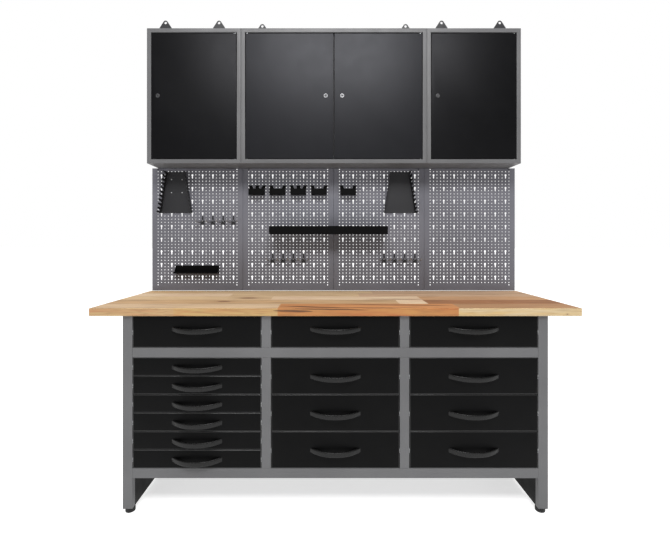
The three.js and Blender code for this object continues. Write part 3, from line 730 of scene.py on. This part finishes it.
def cabinet_shell(shape, x):
    """Sheet shell; its front is folded inwards to a flange, and the flange back to a lip."""
    front, z = CABINET_LOW.y, (CABINET_LOW.z, CABINET_TOP)
    deep = CABINET_HIGH.y - front
    outer = [(0, deep)] + fold()[::-1]
    inner = [(FLANGE - i, y) for i, y in fold()]
    inside = [(FLANGE, LIP), (FLANGE - SHEET, LIP), (FLANGE - SHEET, SHEET)]
    inside += [(SHEET, SHEET), (SHEET, deep - SHEET)]
    levels = outer + inner + inside
    shape.nest([(x[0] + i, x[1] - i, z[0] + i, z[1] - i, front + y) for i, y in levels], "y")
    rim = [(SHELF_IN, -SHELF_RIM), (SHELF_IN + SHEET, -SHELF_RIM), (SHELF_IN + SHEET, -SHEET)]
    section = rim + [(deep - SHEET, -SHEET), (deep - SHEET, 0), (SHELF_IN, 0)]
    ends = (x[0] + SHEET, x[1] - SHEET)
    shape.rings([[(px, front + y, SHELF_Z + up) for y, up in section] for px in ends])


def hanger(shape, x, top):
    """Plate on the cabinet's back with a round head and a hole for the wall screw."""
    head_z = top - TAB_HEAD
    steps = 12
    arc = [math.radians(TAB_LEAN + (180 - 2 * TAB_LEAN) * i / steps) for i in range(steps + 1)]
    foot = CABINET_TOP - TAB_OVERLAP
    outline = [(x - TAB_HALF, foot), (x + TAB_HALF, foot)]
    outline += [(x + TAB_HALF, top - TAB_TAPER)]
    outline += [(x + TAB_HEAD * math.cos(a), head_z + TAB_HEAD * math.sin(a)) for a in arc]
    outline += [(x - TAB_HALF, top - TAB_TAPER)]
    shape.plate(outline, upright(CABINET_HIGH.y - TAB_THICK), TAB_THICK, [circle(x, head_z, TAB_HOLE, 20)])


def make_cabinet(name):
    """Shell with its shelf, rivets and hanger tabs; the centre one has a mullion behind its doors."""
    node = f"cabinet_{name}"
    low, high = corners(node)
    shell = Shape()
    cabinet_shell(shell, (low.x, high.x))
    if name == "centre":
        y = low.y + MULLION_BEHIND
        z = (low.z + SHEET, CABINET_TOP - SHEET)
        shell.block((-MULLION_HALF, MULLION_HALF), (y, y + SHEET), z)
    shell.paint = 1
    for inset in RIVETS_IN:
        for x in (low.x + inset, high.x - inset):
            rivet(shell, x, low.y + RIVETS_BACK, CABINET_TOP)
    build(shell, f"shell_{name}", "bench", [GREY, ZINC], stands_for=[node])
    plates = Shape()
    for x in TABS[name]:
        hanger(plates, x, high.z)
    build(plates, f"hangers_{name}", "bench", [HOLDER_BLACK], 0.5, stands_for=[node])


def rivet(shape, x, y, z):
    """Small domed rivet head on an upward face."""
    shape.turned([(3.2, 0), (3.2, 0.4), (2.2, 1.2), (0.7, 1.6)], (x, y, z), "z", 14)


def make_door(name, hinge):
    """Door pan with its lock hole, and a pivot pin at each end of its hinge side."""
    node = f"door_{name}"
    low, high = corners(node)
    lock_low, lock_high = corners(f"lock_{name}")
    z = (low.z + PIN_OUT, high.z - PIN_OUT - PIN_LONGER)
    leaf = Shape()
    outline = folded_rim(leaf, (low.x, high.x), z, low.y, DOOR_DEEP)
    lock = circle((lock_low.x + lock_high.x) / 2, lock_high.z - LOCK_HEAD, LOCK_HOLE, 32)
    place = upright(low.y)
    leaf.face(outline, [lock], place, (0, SHEET))
    leaf.wall(lock, place, (0, SHEET))
    leaf.paint = 1
    pivot = low.x + PIVOT_IN if hinge < 0 else high.x - PIVOT_IN
    for start, end in ((low.z, z[0] + PIN_OUT), (z[1] - PIN_OUT, high.z)):
        long = end - start
        pin = [(2.2, 0), (3, 0.8), (3, long - 0.8), (2.2, long)]
        leaf.turned(pin, (pivot, low.y + PIVOT_BACK, start), "z", 16)
    # The centre doors take the lighter, glossier copy of the door paint: a painted reflection.
    coat = DOOR_BLACK_HIGHLIT if name.startswith("centre") else DOOR_BLACK
    build(leaf, f"leaf_{name}", node, [coat, ZINC], stands_for=[node])


# ---- Drawers ----

def drawer_names():
    return [n[len("drawer_"):] for n in sorted(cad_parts) if n.startswith("drawer_")]


def drawer_front(shape, low, high):
    # The folded rim takes the lighter rim paint: a painted highlight on the front's edges.
    shape.paint = 1
    outline = folded_rim(shape, (low.x, high.x), (low.z, high.z), low.y, FRONT_RIM)
    shape.paint = 0
    shape.face(outline, [], upright(low.y), (0, SHEET))


def drawer_tray(shape, low, high):
    """Open tray; its rim is rolled inwards to a bead."""
    x = (low.x + TRAY_CLEAR, high.x - TRAY_CLEAR)
    y = (low.y + SHEET, high.y)
    z = (low.z + TRAY_FOOT, high.z - TRAY_DROP)
    t, bead, high_wall = TRAY_SHEET, TRAY_BEAD, z[1] - z[0]
    profile = [
        (3, 0), (0.9, 0.9), (0, 3), (0, high_wall - 1), (0.5, high_wall - 0.2), (1.3, high_wall),
        (bead, high_wall - 0.5), (bead + 0.3, high_wall - 1.6), (bead, high_wall - 2.8),
        (t, high_wall - 3.2), (t, 3 + t), (0.9 + t, 0.9 + t), (3 + t, t),
    ]
    shape.nest([(x[0] + i, x[1] - i, y[0] + i, y[1] - i, z[0] + up) for i, up in profile], "z")


def drawer_slide(shape, low, high, side):
    """Moving rail on the tray's side: a channel with turned lips, held by three rivets."""
    wall = high.x - TRAY_CLEAR if side > 0 else low.x + TRAY_CLEAR
    middle = (low.z + TRAY_FOOT + high.z - TRAY_DROP) / 2
    half = SLIDE_HIGH / 2
    lip, t = SLIDE_LIP, TRAY_SHEET
    section = [
        (0, -half), (SLIDE_OUT, -half), (SLIDE_OUT, lip - half), (SLIDE_OUT - t, lip - half),
        (SLIDE_OUT - t, t - half), (t, t - half), (t, half - t), (SLIDE_OUT - t, half - t),
        (SLIDE_OUT - t, half - lip), (SLIDE_OUT, half - lip), (SLIDE_OUT, half), (0, half),
    ]
    ends = (low.y + SLIDE_START, high.y - SLIDE_STOP)
    shape.rings([[(wall + side * out, y, middle + up) for out, up in section] for y in ends])
    head = [(3.4, 0), (3.4, 0.5), (2.2, 1.4), (0.6, 1.7)]
    for y in (ends[0] + 30, (ends[0] + ends[1]) / 2, ends[1] - 40):
        shape.rings([
            [
                (
                    wall + side * (t + out),
                    y + radius * math.cos(math.tau * i / 14),
                    middle + radius * math.sin(math.tau * i / 14),
                )
                for i in range(14)
            ]
            for radius, out in head
        ])


def make_drawer(name):
    node = f"drawer_{name}"
    low, high = corners(node)
    front, tray, slides = Shape(), Shape(), Shape()
    drawer_front(front, low, high)
    drawer_tray(tray, low, high)
    for side in (-1, 1):
        drawer_slide(slides, low, high, side)
    build(front, f"front_{name}", node, [BLACK, HIGHLIT_RIM_BLACK], stands_for=[node])
    build(tray, f"tray_{name}", node, [BLACK], stands_for=[node])
    build(slides, f"slides_{name}", node, [ZINC], stands_for=[node])


def make_runner_hooks():
    """Bent front ends of the fixed slides, seen in the gaps beside the drawer fronts."""
    shape = Shape()
    for name in drawer_names():
        low, high = corners(f"drawer_{name}")
        middle = (low.z + TRAY_FOOT + high.z - TRAY_DROP) / 2
        for edge, side in ((low.x, -1), (high.x, 1)):
            x = sorted((edge + side * 0.4, edge + side * 1.6))
            shape.block(x, (low.y - 0.6, low.y + SLIDE_START), (middle - 1, middle + 8))
            shape.block(x, (low.y - 0.3, low.y + SLIDE_START), (middle - 9, middle - 4))
    build(shape, "runner_hooks", "bench", [ZINC], 0.3)


# ---- Handles ----

def bow(half, reach, share):
    """Point of the bow's half outline; share runs from 0 at its middle to 1 at its end."""
    along = math.sin(share * math.pi / 2)
    return half * along, reach * (1 - along ** HANDLE_FULLNESS)


def make_handle(name):
    """Bow handle with rounded edges and a crowned outer face."""
    node, body = f"handle_{name}", f"drawer_{name}"
    low, high = corners(node)
    centre_x = (low.x + high.x) / 2
    back = high.y
    reach = high.y - low.y
    middle = high.z - HANDLE_HIGH / 2
    steps, sides = 26, 20
    rings = []
    for i in range(-steps, steps + 1):
        share, sign = abs(i) / steps, -1 if i < 0 else 1
        outer = bow(HANDLE_HALF, reach, share)
        inner = bow(HANDLE_HALF - HANDLE_FOOT, reach - HANDLE_BAR, share)
        ring = []
        for k in range(sides):
            turn = math.tau * (k + 0.5) / sides
            c, s = math.cos(turn), math.sin(turn)
            across = 0.5 + 0.5 * math.copysign(abs(c) ** 0.55, c)
            up = math.copysign(abs(s) ** 0.42, s)
            px = outer[0] * across + inner[0] * (1 - across)
            py = outer[1] * across + inner[1] * (1 - across)
            droop = HANDLE_DROOP * (1 - (px / HANDLE_HALF) ** 2)
            ring.append((centre_x + sign * px, back - py, middle + up * HANDLE_HIGH / 2 - droop))
        rings.append(ring)
    shape = Shape()
    shape.rings(rings)
    build(shape, f"bow_{name}", body, [PLASTIC], stands_for=[node])


# ---- Feet and locks ----

def make_foot(end, side):
    """Moulded glide: a ribbed disc on a softened base, with its plug in the leg."""
    node = f"{end}_foot_{side}"
    low, high = corners(node)
    leg_low, leg_high = corners(f"{end}_leg_{side}")
    radius = (high.x - low.x) / 2
    centre_x = (low.x + high.x) / 2
    centre_y = low.y + radius if end == "rear" else high.y - radius
    top = leg_low.z - 0.3
    shape = Shape()
    ribs = 36
    profile = [(radius - 3, 0), (radius - 1, 0.8), (radius - 0.2, 3), (radius - 0.2, top - 5),
               (radius - 0.8, top - 2.2), (radius - 2.6, top - 0.6), (radius - 5, top)]
    rings = []
    for r, z in profile:
        ring = []
        for i in range(ribs * 2):
            ribbed = 3 < z < top - 2
            out = r - (0.9 if i % 2 and (ribbed or z == 3) else 0)
            turn = math.tau * i / (ribs * 2)
            ring.append((centre_x + out * math.cos(turn), centre_y + out * math.sin(turn), z))
        rings.append(ring)
    shape.rings(rings)
    plug_x = (leg_low.x + 4, leg_high.x - 4)
    plug_y = (leg_low.y + 3.5, leg_high.y - 3.5)
    shape.block(plug_x, plug_y, (top - 1, high.z))
    build(shape, f"glide_{end}_{side}", "bench", [PLASTIC], 0.4, stands_for=[node])


def make_lock(name):
    """Cam lock: a head with a recessed plug and key slot, a threaded barrel with its nut, and a cam."""
    node = f"lock_{name}"
    low, high = corners(node)
    x, front = (low.x + high.x) / 2, low.y
    z = high.z - LOCK_HEAD
    shape = Shape()
    head = [(3.2, 2.0), (3.2, 0.9), (6.6, 0.9), (7.0, 0.4), (9.2, 0.0), (10.4, 0.5)]
    head += [(LOCK_HEAD, 1.4), (LOCK_HEAD, 2.7), (LOCK_BARREL, 2.7)]
    shape.turned(head, (x, front, z), "y", 40)
    thread = [(LOCK_BARREL + (0.35 if k % 2 else 0), 5 + k * 0.8) for k in range(1, 26)]
    shape.turned([(LOCK_BARREL, 2.5), (LOCK_BARREL, 5)] + thread, (x, front, z), "y", 28)
    place = upright(front)
    nut = circle(x, z, LOCK_NUT, 6)
    shape.plate(nut, lambda a, b, d: place(a, b, d + 6.4), 4)
    half, reach = CAM_HALF, z - low.z
    ends = [math.pi * i / 10 for i in range(11)]
    cam = [(x + half * math.cos(a), z + half * math.sin(a)) for a in ends]
    cam += [(x - half * math.cos(a), z + half - reach - half * math.sin(a)) for a in ends]
    shape.plate(cam, upright(high.y - 2), 1.9)
    shape.paint = 1
    shape.plate(circle(x, z, LOCK_PLUG, 24), lambda a, b, d: place(a, b, d + 0.7), 0.6)
    # The key slot is a black bar on the plug, not a cut: painted shade for the slot's dark inside.
    shape.paint = 2
    shape.block((x - 0.8, x + 0.8), (front + 0.55, front + 2.2), (z - 3.4, z + 3.4))
    # The side locks take the darker chrome copy, a painted shade; the centre ones keep the bright chrome.
    metal = CHROME if "centre" in name else DULL_AND_SHADED_CHROME
    build(shape, f"cylinder_{name}", node, [metal, DULL_AND_SHADED_CHROME, BLACK], 0.25, stands_for=[node])


# ---- Perforated panels ----

LAST_LOW, LAST_HIGH = corners("perforated_panel_4")
BOARD_FRONT = LAST_LOW.y
BOARD_PITCH = LAST_HIGH.x - LAST_LOW.x + 0.6
BOARD_LEFT = [LAST_LOW.x - 0.3 - (3 - b) * BOARD_PITCH for b in range(4)]
KEY_MARGIN = (BOARD_PITCH - (KEY_COLUMNS - 1) * KEY_PITCH_X) / 2


def key_x(board, column):
    return BOARD_LEFT[board] + KEY_MARGIN + column * KEY_PITCH_X


def key_z(row):
    return KEY_TOP_Z - row * KEY_PITCH_Z


def keyhole():
    """Round head with a narrower slot below it."""
    head_z = KEY_HALF_HIGH - KEY_HEAD
    start = -math.acos(KEY_SLOT / KEY_HEAD) * 0.999
    end = math.pi - start
    arc = 12
    outline = [
        (
            KEY_HEAD * math.cos(start + (end - start) * i / arc),
            head_z + KEY_HEAD * math.sin(start + (end - start) * i / arc),
        )
        for i in range(arc + 1)
    ]
    foot_z = KEY_SLOT - KEY_HALF_HIGH
    turns = [math.pi + math.pi * i / 6 for i in range(7)]
    outline += [(KEY_SLOT * math.cos(turn), foot_z + KEY_SLOT * math.sin(turn)) for turn in turns]
    return outline


def perforated_sheet(shape, board):
    """Front with all its holes, the walls of the holes, and the rim folded back to the wall."""
    half_x, half_z = CELL_X / 2, CELL_Z / 2
    faces, key = (0, BOARD_SHEET), keyhole()
    small = circle(0, 0, SMALL_HOLE, 10)
    cell = [(-half_x, -half_z), (half_x, -half_z), (half_x, half_z), (-half_x, half_z)]
    key_cell = [(-half_x, -CELL_Z), (half_x, -CELL_Z), (half_x, 0)]
    key_cell += [(half_x, CELL_Z), (-half_x, CELL_Z), (-half_x, 0)]
    patterns = {True: (tile(key_cell, [key]), key), False: (tile(cell, [small]), small)}

    def pierce(is_key, cx, cz):
        (points, triangles), hole = patterns[is_key]
        place = lambda a, b, depth: (cx + a, BOARD_FRONT + depth, cz + b)
        for depth in faces:
            shape.add([place(a, b, depth) for a, b in points], triangles)
        shape.wall(hole, place, faces)

    columns = range(-1, 3 * (KEY_COLUMNS - 1) + 2)
    for row in range(KEY_ROWS):
        for column in columns:
            cx = key_x(board, 0) + column * CELL_X
            is_key = column % 3 == 0
            if is_key:
                pierce(True, cx, key_z(row))
            for step in (-1.5, 1.5) if is_key else (-1.5, -0.5, 0.5, 1.5):
                pierce(False, cx, key_z(row) + step * CELL_Z)
    left, right = key_x(board, 0) - 1.5 * CELL_X, key_x(board, KEY_COLUMNS - 1) + 1.5 * CELL_X
    low, high = key_z(KEY_ROWS - 1) - 2 * CELL_Z, key_z(0) + 2 * CELL_Z
    across = [left + i * CELL_X for i in range(len(columns) + 1)]
    up = [low + i * CELL_Z for i in range(4 * KEY_ROWS + 1)]
    grid = [(a, low) for a in across[:-1]] + [(right, b) for b in up[:-1]]
    grid += [(a, high) for a in across[:0:-1]] + [(left, b) for b in up[:0:-1]]
    spots = [(cx, cz) for cx in (left + half_x, right - half_x) for cz in (low - 4.2, high + 4.2)]
    rounds = [circle(cx, cz, CORNER_HOLE, 12) for cx, cz in spots]
    x = (BOARD_LEFT[board] + BOARD_GAP, BOARD_LEFT[board] + BOARD_PITCH - BOARD_GAP)
    z, deep = (LAST_LOW.z, LAST_HIGH.z), LAST_HIGH.y - BOARD_FRONT
    outline = folded_rim(shape, x, z, BOARD_FRONT, deep, BOARD_SHEET)
    place = upright(BOARD_FRONT)
    shape.face(outline, [grid] + rounds, place, faces)
    for loop in rounds:
        shape.wall(loop, place, faces)
    return spots


def screw(shape, x, y, z, radius):
    """Pan-head screw seen from -Y, with a round recess."""
    profile = [(0.42, -1.0), (0.44, -2.0), (0.7, -1.9), (0.95, -1.1), (1, 0)]
    shape.turned([(radius * share, out) for share, out in profile], (x, y, z), "y", 24)


def make_panel(board):
    shape = Shape()
    spots = perforated_sheet(shape, board)
    node = f"perforated_panel_{board + 1}"
    build(shape, f"board_{board + 1}", "bench", [BOARD_GREY], stands_for=[node])
    screws = Shape()
    for x, z in spots:
        is_left = x < BOARD_LEFT[board] + BOARD_PITCH / 2
        if z > KEY_TOP_Z and is_left == (board < 2):
            screw(screws, x, BOARD_FRONT + 0.2, z, 3.9)
    build(screws, f"board_screws_{board + 1}", "bench", [HOLDER_BLACK], stands_for=[node])


# ---- Holders, trays, shelves and hooks ----

def make_holder(board, column, number):
    """Tapered plate with a notched cheek along each slanted side; tools lie in the notches."""
    x = (key_x(board, column) + key_x(board, column + 1)) / 2
    bottom = key_z(3) + HOLDER_ABOVE_ROW
    rear = BOARD_FRONT - 0.4
    slope = (HOLDER_BOTTOM_HALF - HOLDER_TOP_HALF) / HOLDER_HIGH
    shape = Shape()
    outline = [
        (x - HOLDER_BOTTOM_HALF, bottom), (x + HOLDER_BOTTOM_HALF, bottom),
        (x + HOLDER_TOP_HALF, bottom + HOLDER_HIGH), (x - HOLDER_TOP_HALF, bottom + HOLDER_HIGH),
    ]
    shape.plate(outline, upright(rear - SHEET), SHEET)
    pitch = (HOLDER_HIGH - 8) / HOLDER_TEETH
    tooth = [(1.0, 0.0), (1.0, 0.14), (0.93, 0.4), (0.42, 0.24), (0.36, 0.44), (0.44, 0.66), (0.86, 0.92)]
    edge = [(0, 0), (HOLDER_CHEEK * 0.8, 0)]
    edge += [(HOLDER_CHEEK * out, 4 + (k + up) * pitch) for k in range(HOLDER_TEETH) for out, up in tooth]
    edge += [(HOLDER_CHEEK, HOLDER_HIGH - 3), (HOLDER_CHEEK - 4, HOLDER_HIGH), (0, HOLDER_HIGH)]
    for side in (-1, 1):
        shape.plate(
            edge,
            lambda out, up, depth: (
                x + side * (HOLDER_BOTTOM_HALF - slope * up - depth + HOLDER_FLARE * out),
                rear - out,
                bottom + up,
            ),
            SHEET,
        )
    fold_z = bottom + HOLDER_HIGH - HOLDER_FOLD_DROP
    half = HOLDER_TOP_HALF - 2
    shape.block((x - half, x + half), (rear - SHEET - 0.8, rear), (fold_z, fold_z + 2))
    shape.paint = 1
    if board == 0:
        for dx in (-HOLDER_SCREWS_X, HOLDER_SCREWS_X):
            for up in HOLDER_SCREWS_UP:
                screw(shape, x + dx, rear - SHEET, bottom + up, 3.4)
    build(
        shape, f"wrench_holder_{number}", "bench", [HOLDER_BLACK, ZINC],
        stands_for=[f"perforated_panel_{board + 1}"],
    )


def hung_tray(shape, x, deep, floor, lip, back, ears=()):
    """Folded tray: sloping sides join its low lip to its high back."""
    front, rear = BOARD_FRONT - deep, BOARD_FRONT - 0.4
    t = SHEET
    shape.block(x, (front, rear), (floor, floor + t))
    shape.block(x, (front, front + t), (floor, lip))
    shape.block(x, (rear - t, rear), (floor, back))
    slope_start = front + (rear - front) * 0.45
    side = [(front, floor), (rear, floor), (rear, back), (rear - t, back), (slope_start, lip), (front, lip)]
    for edge, inward in ((x[0], 1), (x[1], -1)):
        shape.rings([[(edge + inward * d, y, z) for y, z in side] for d in (0, t)])
    for ear_x, half, lean in ears:
        top = back + BIN_EAR
        outline = [(ear_x - half, back - 2), (ear_x + half, back - 2)]
        outline += [(ear_x + half * 0.75 + lean, top), (ear_x - half * 0.75 + lean, top)]
        shape.plate(outline, upright(rear - t), t)


def tongues(shape, places, top):
    """Bent tongues that hook a tray into the keyholes."""
    for x in places:
        shape.block((x - 4, x + 4), (BOARD_FRONT - 0.6, BOARD_FRONT + 5), (top - 12, top - 4))


def make_bin(board, column, number, is_forked):
    """Small tray; the ears of its back plate are splayed, and some have a third one between them."""
    pads = [key_x(board, column), key_x(board, column + 1)]
    x = sum(pads) / 2
    floor = key_z(1) - BIN_DROP
    back = floor + BIN_BACK_HIGH
    ears = [(x - BIN_HALF + 11, 11, -7), (x + BIN_HALF - 11, 11, 7)]
    if is_forked:
        ears.insert(1, (x, 12, 0))
    shape = Shape()
    hung_tray(shape, (x - BIN_HALF, x + BIN_HALF), BIN_DEEP, floor, floor + BIN_HIGH, back, ears)
    shape.paint = 1
    tongues(shape, pads, back)
    build(
        shape, f"bin_{number}", "bench", [TRAY_BLACK, ZINC], 0.4,
        stands_for=[f"perforated_panel_{board + 1}"],
    )


def make_shelves():
    floor = key_z(4) - LONG_SHELF_DROP
    x = (key_x(1, 2) - LONG_SHELF_SPARE, key_x(2, 4) + LONG_SHELF_SPARE)
    long = Shape()
    top = floor + LONG_SHELF_HIGH
    hung_tray(long, x, LONG_SHELF_DEEP, floor, top, top)
    long.paint = 1
    tongues(long, [key_x(1, 3), key_x(1, 6), key_x(2, 1), key_x(2, 3)], top)
    build(
        long, "long_shelf", "bench", [TRAY_BLACK, ZINC], 0.5,
        stands_for=["perforated_panel_2"],
    )
    pads = [key_x(0, 2), key_x(0, 5)]
    x = sum(pads) / 2
    floor = key_z(7) - SHORT_SHELF_DROP
    short = Shape()
    hung_tray(
        short, (x - SHORT_SHELF_HALF, x + SHORT_SHELF_HALF), SHORT_SHELF_DEEP, floor,
        floor + SHORT_SHELF_LIP, floor + SHORT_SHELF_BACK,
    )
    short.paint = 1
    tongues(short, pads, floor + SHORT_SHELF_BACK)
    build(
        short, "short_shelf", "bench", [TRAY_BLACK, ZINC], 0.4,
        stands_for=["perforated_panel_1"],
    )


def wire(shape, path, radius):
    """Round wire along a smooth path through the given points."""
    sides = 10
    fine = []
    for i in range(len(path) - 1):
        p0, p1, p2, p3 = (Vector(path[max(0, min(len(path) - 1, i + k))]) for k in (-1, 0, 1, 2))
        for k in range(6):
            t = k / 6
            fine.append(0.5 * (
                2 * p1 + (p2 - p0) * t + (2 * p0 - 5 * p1 + 4 * p2 - p3) * t * t
                + (3 * p1 - p0 - 3 * p2 + p3) * t ** 3
            ))
    fine.append(Vector(path[-1]))
    rings = []
    side = Vector((0, 0, 1))
    for i, point in enumerate(fine):
        ahead = (fine[min(i + 1, len(fine) - 1)] - fine[max(i - 1, 0)]).normalized()
        side = (side - ahead * side.dot(ahead)).normalized()
        other = ahead.cross(side)
        rings.append([
            point + radius * (math.cos(math.tau * k / sides) * side + math.sin(math.tau * k / sides) * other)
            for k in range(sides)
        ])
    shape.rings(rings)


def make_hooks(board, first, row, number):
    """Row of double hooks: bent wire on a small plate that hangs in a keyhole."""
    shape = Shape()
    for column in range(first, first + 4):
        x, z = key_x(board, column), key_z(row) - HOOK_DROP
        y = BOARD_FRONT
        for side in (-1, 1):
            wire(shape, [
                (x + side * 2, y - 3.5, z + 10),
                (x + side * 3, y - 4, z),
                (x + side * HOOK_HALF * 0.5, y - HOOK_REACH * 0.5, z - HOOK_SAG),
                (x + side * HOOK_HALF, y - HOOK_REACH + HOOK_SAG, z),
                (x + side * HOOK_HALF, y - HOOK_REACH, z + HOOK_RISE),
            ], HOOK_WIRE)
        # Each hook's plate is black: the plate is a real part, and its black also stands in for the wires'
        # shadow, a painted shadow.
        shape.paint = 1
        plate = [(-11, -15), (11, -15), (11, 4), (4, 8), (4, 26), (-4, 26), (-4, 8), (-11, 4)]
        shape.plate([(x + a, z + b) for a, b in plate], upright(y - 2.2), 1.6)
        shape.block((x - 3, x + 3), (y - 0.8, y + 5), (z + 24, z + 34))
        shape.paint = 0
    build(
        shape, f"hooks_{number}", "bench", [CHROME, HOLDER_BLACK], 0.3,
        stands_for=[f"perforated_panel_{board + 1}"],
    )


# ---- Assembly ----

make_camera()
make_floor()
make_light()
dress_frame()
for cabinet in TABS:
    make_cabinet(cabinet)
for door_name, hinge_side in (("left", 1), ("centre_left", -1), ("centre_right", 1), ("right", 1)):
    make_door(door_name, hinge_side)
for drawer in drawer_names():
    make_drawer(drawer)
    make_handle(drawer)
make_runner_hooks()
for leg_end in ("front", "rear"):
    for leg_side in ("left", "right"):
        make_foot(leg_end, leg_side)
for leaf in ("left", "centre_left", "centre_right", "right"):
    make_lock(leaf)
for index in range(4):
    make_panel(index)
make_holder(0, 1, 1)
make_holder(2, 5, 2)
for bin_number, (bin_board, bin_column) in enumerate([(1, 0), (1, 2), (1, 4), (1, 6), (2, 0)], 1):
    make_bin(bin_board, bin_column, bin_number, bin_number in (1, 3))
make_shelves()
make_hooks(0, 4, 3, 1)
make_hooks(1, 2, 6, 2)
make_hooks(2, 4, 6, 3)
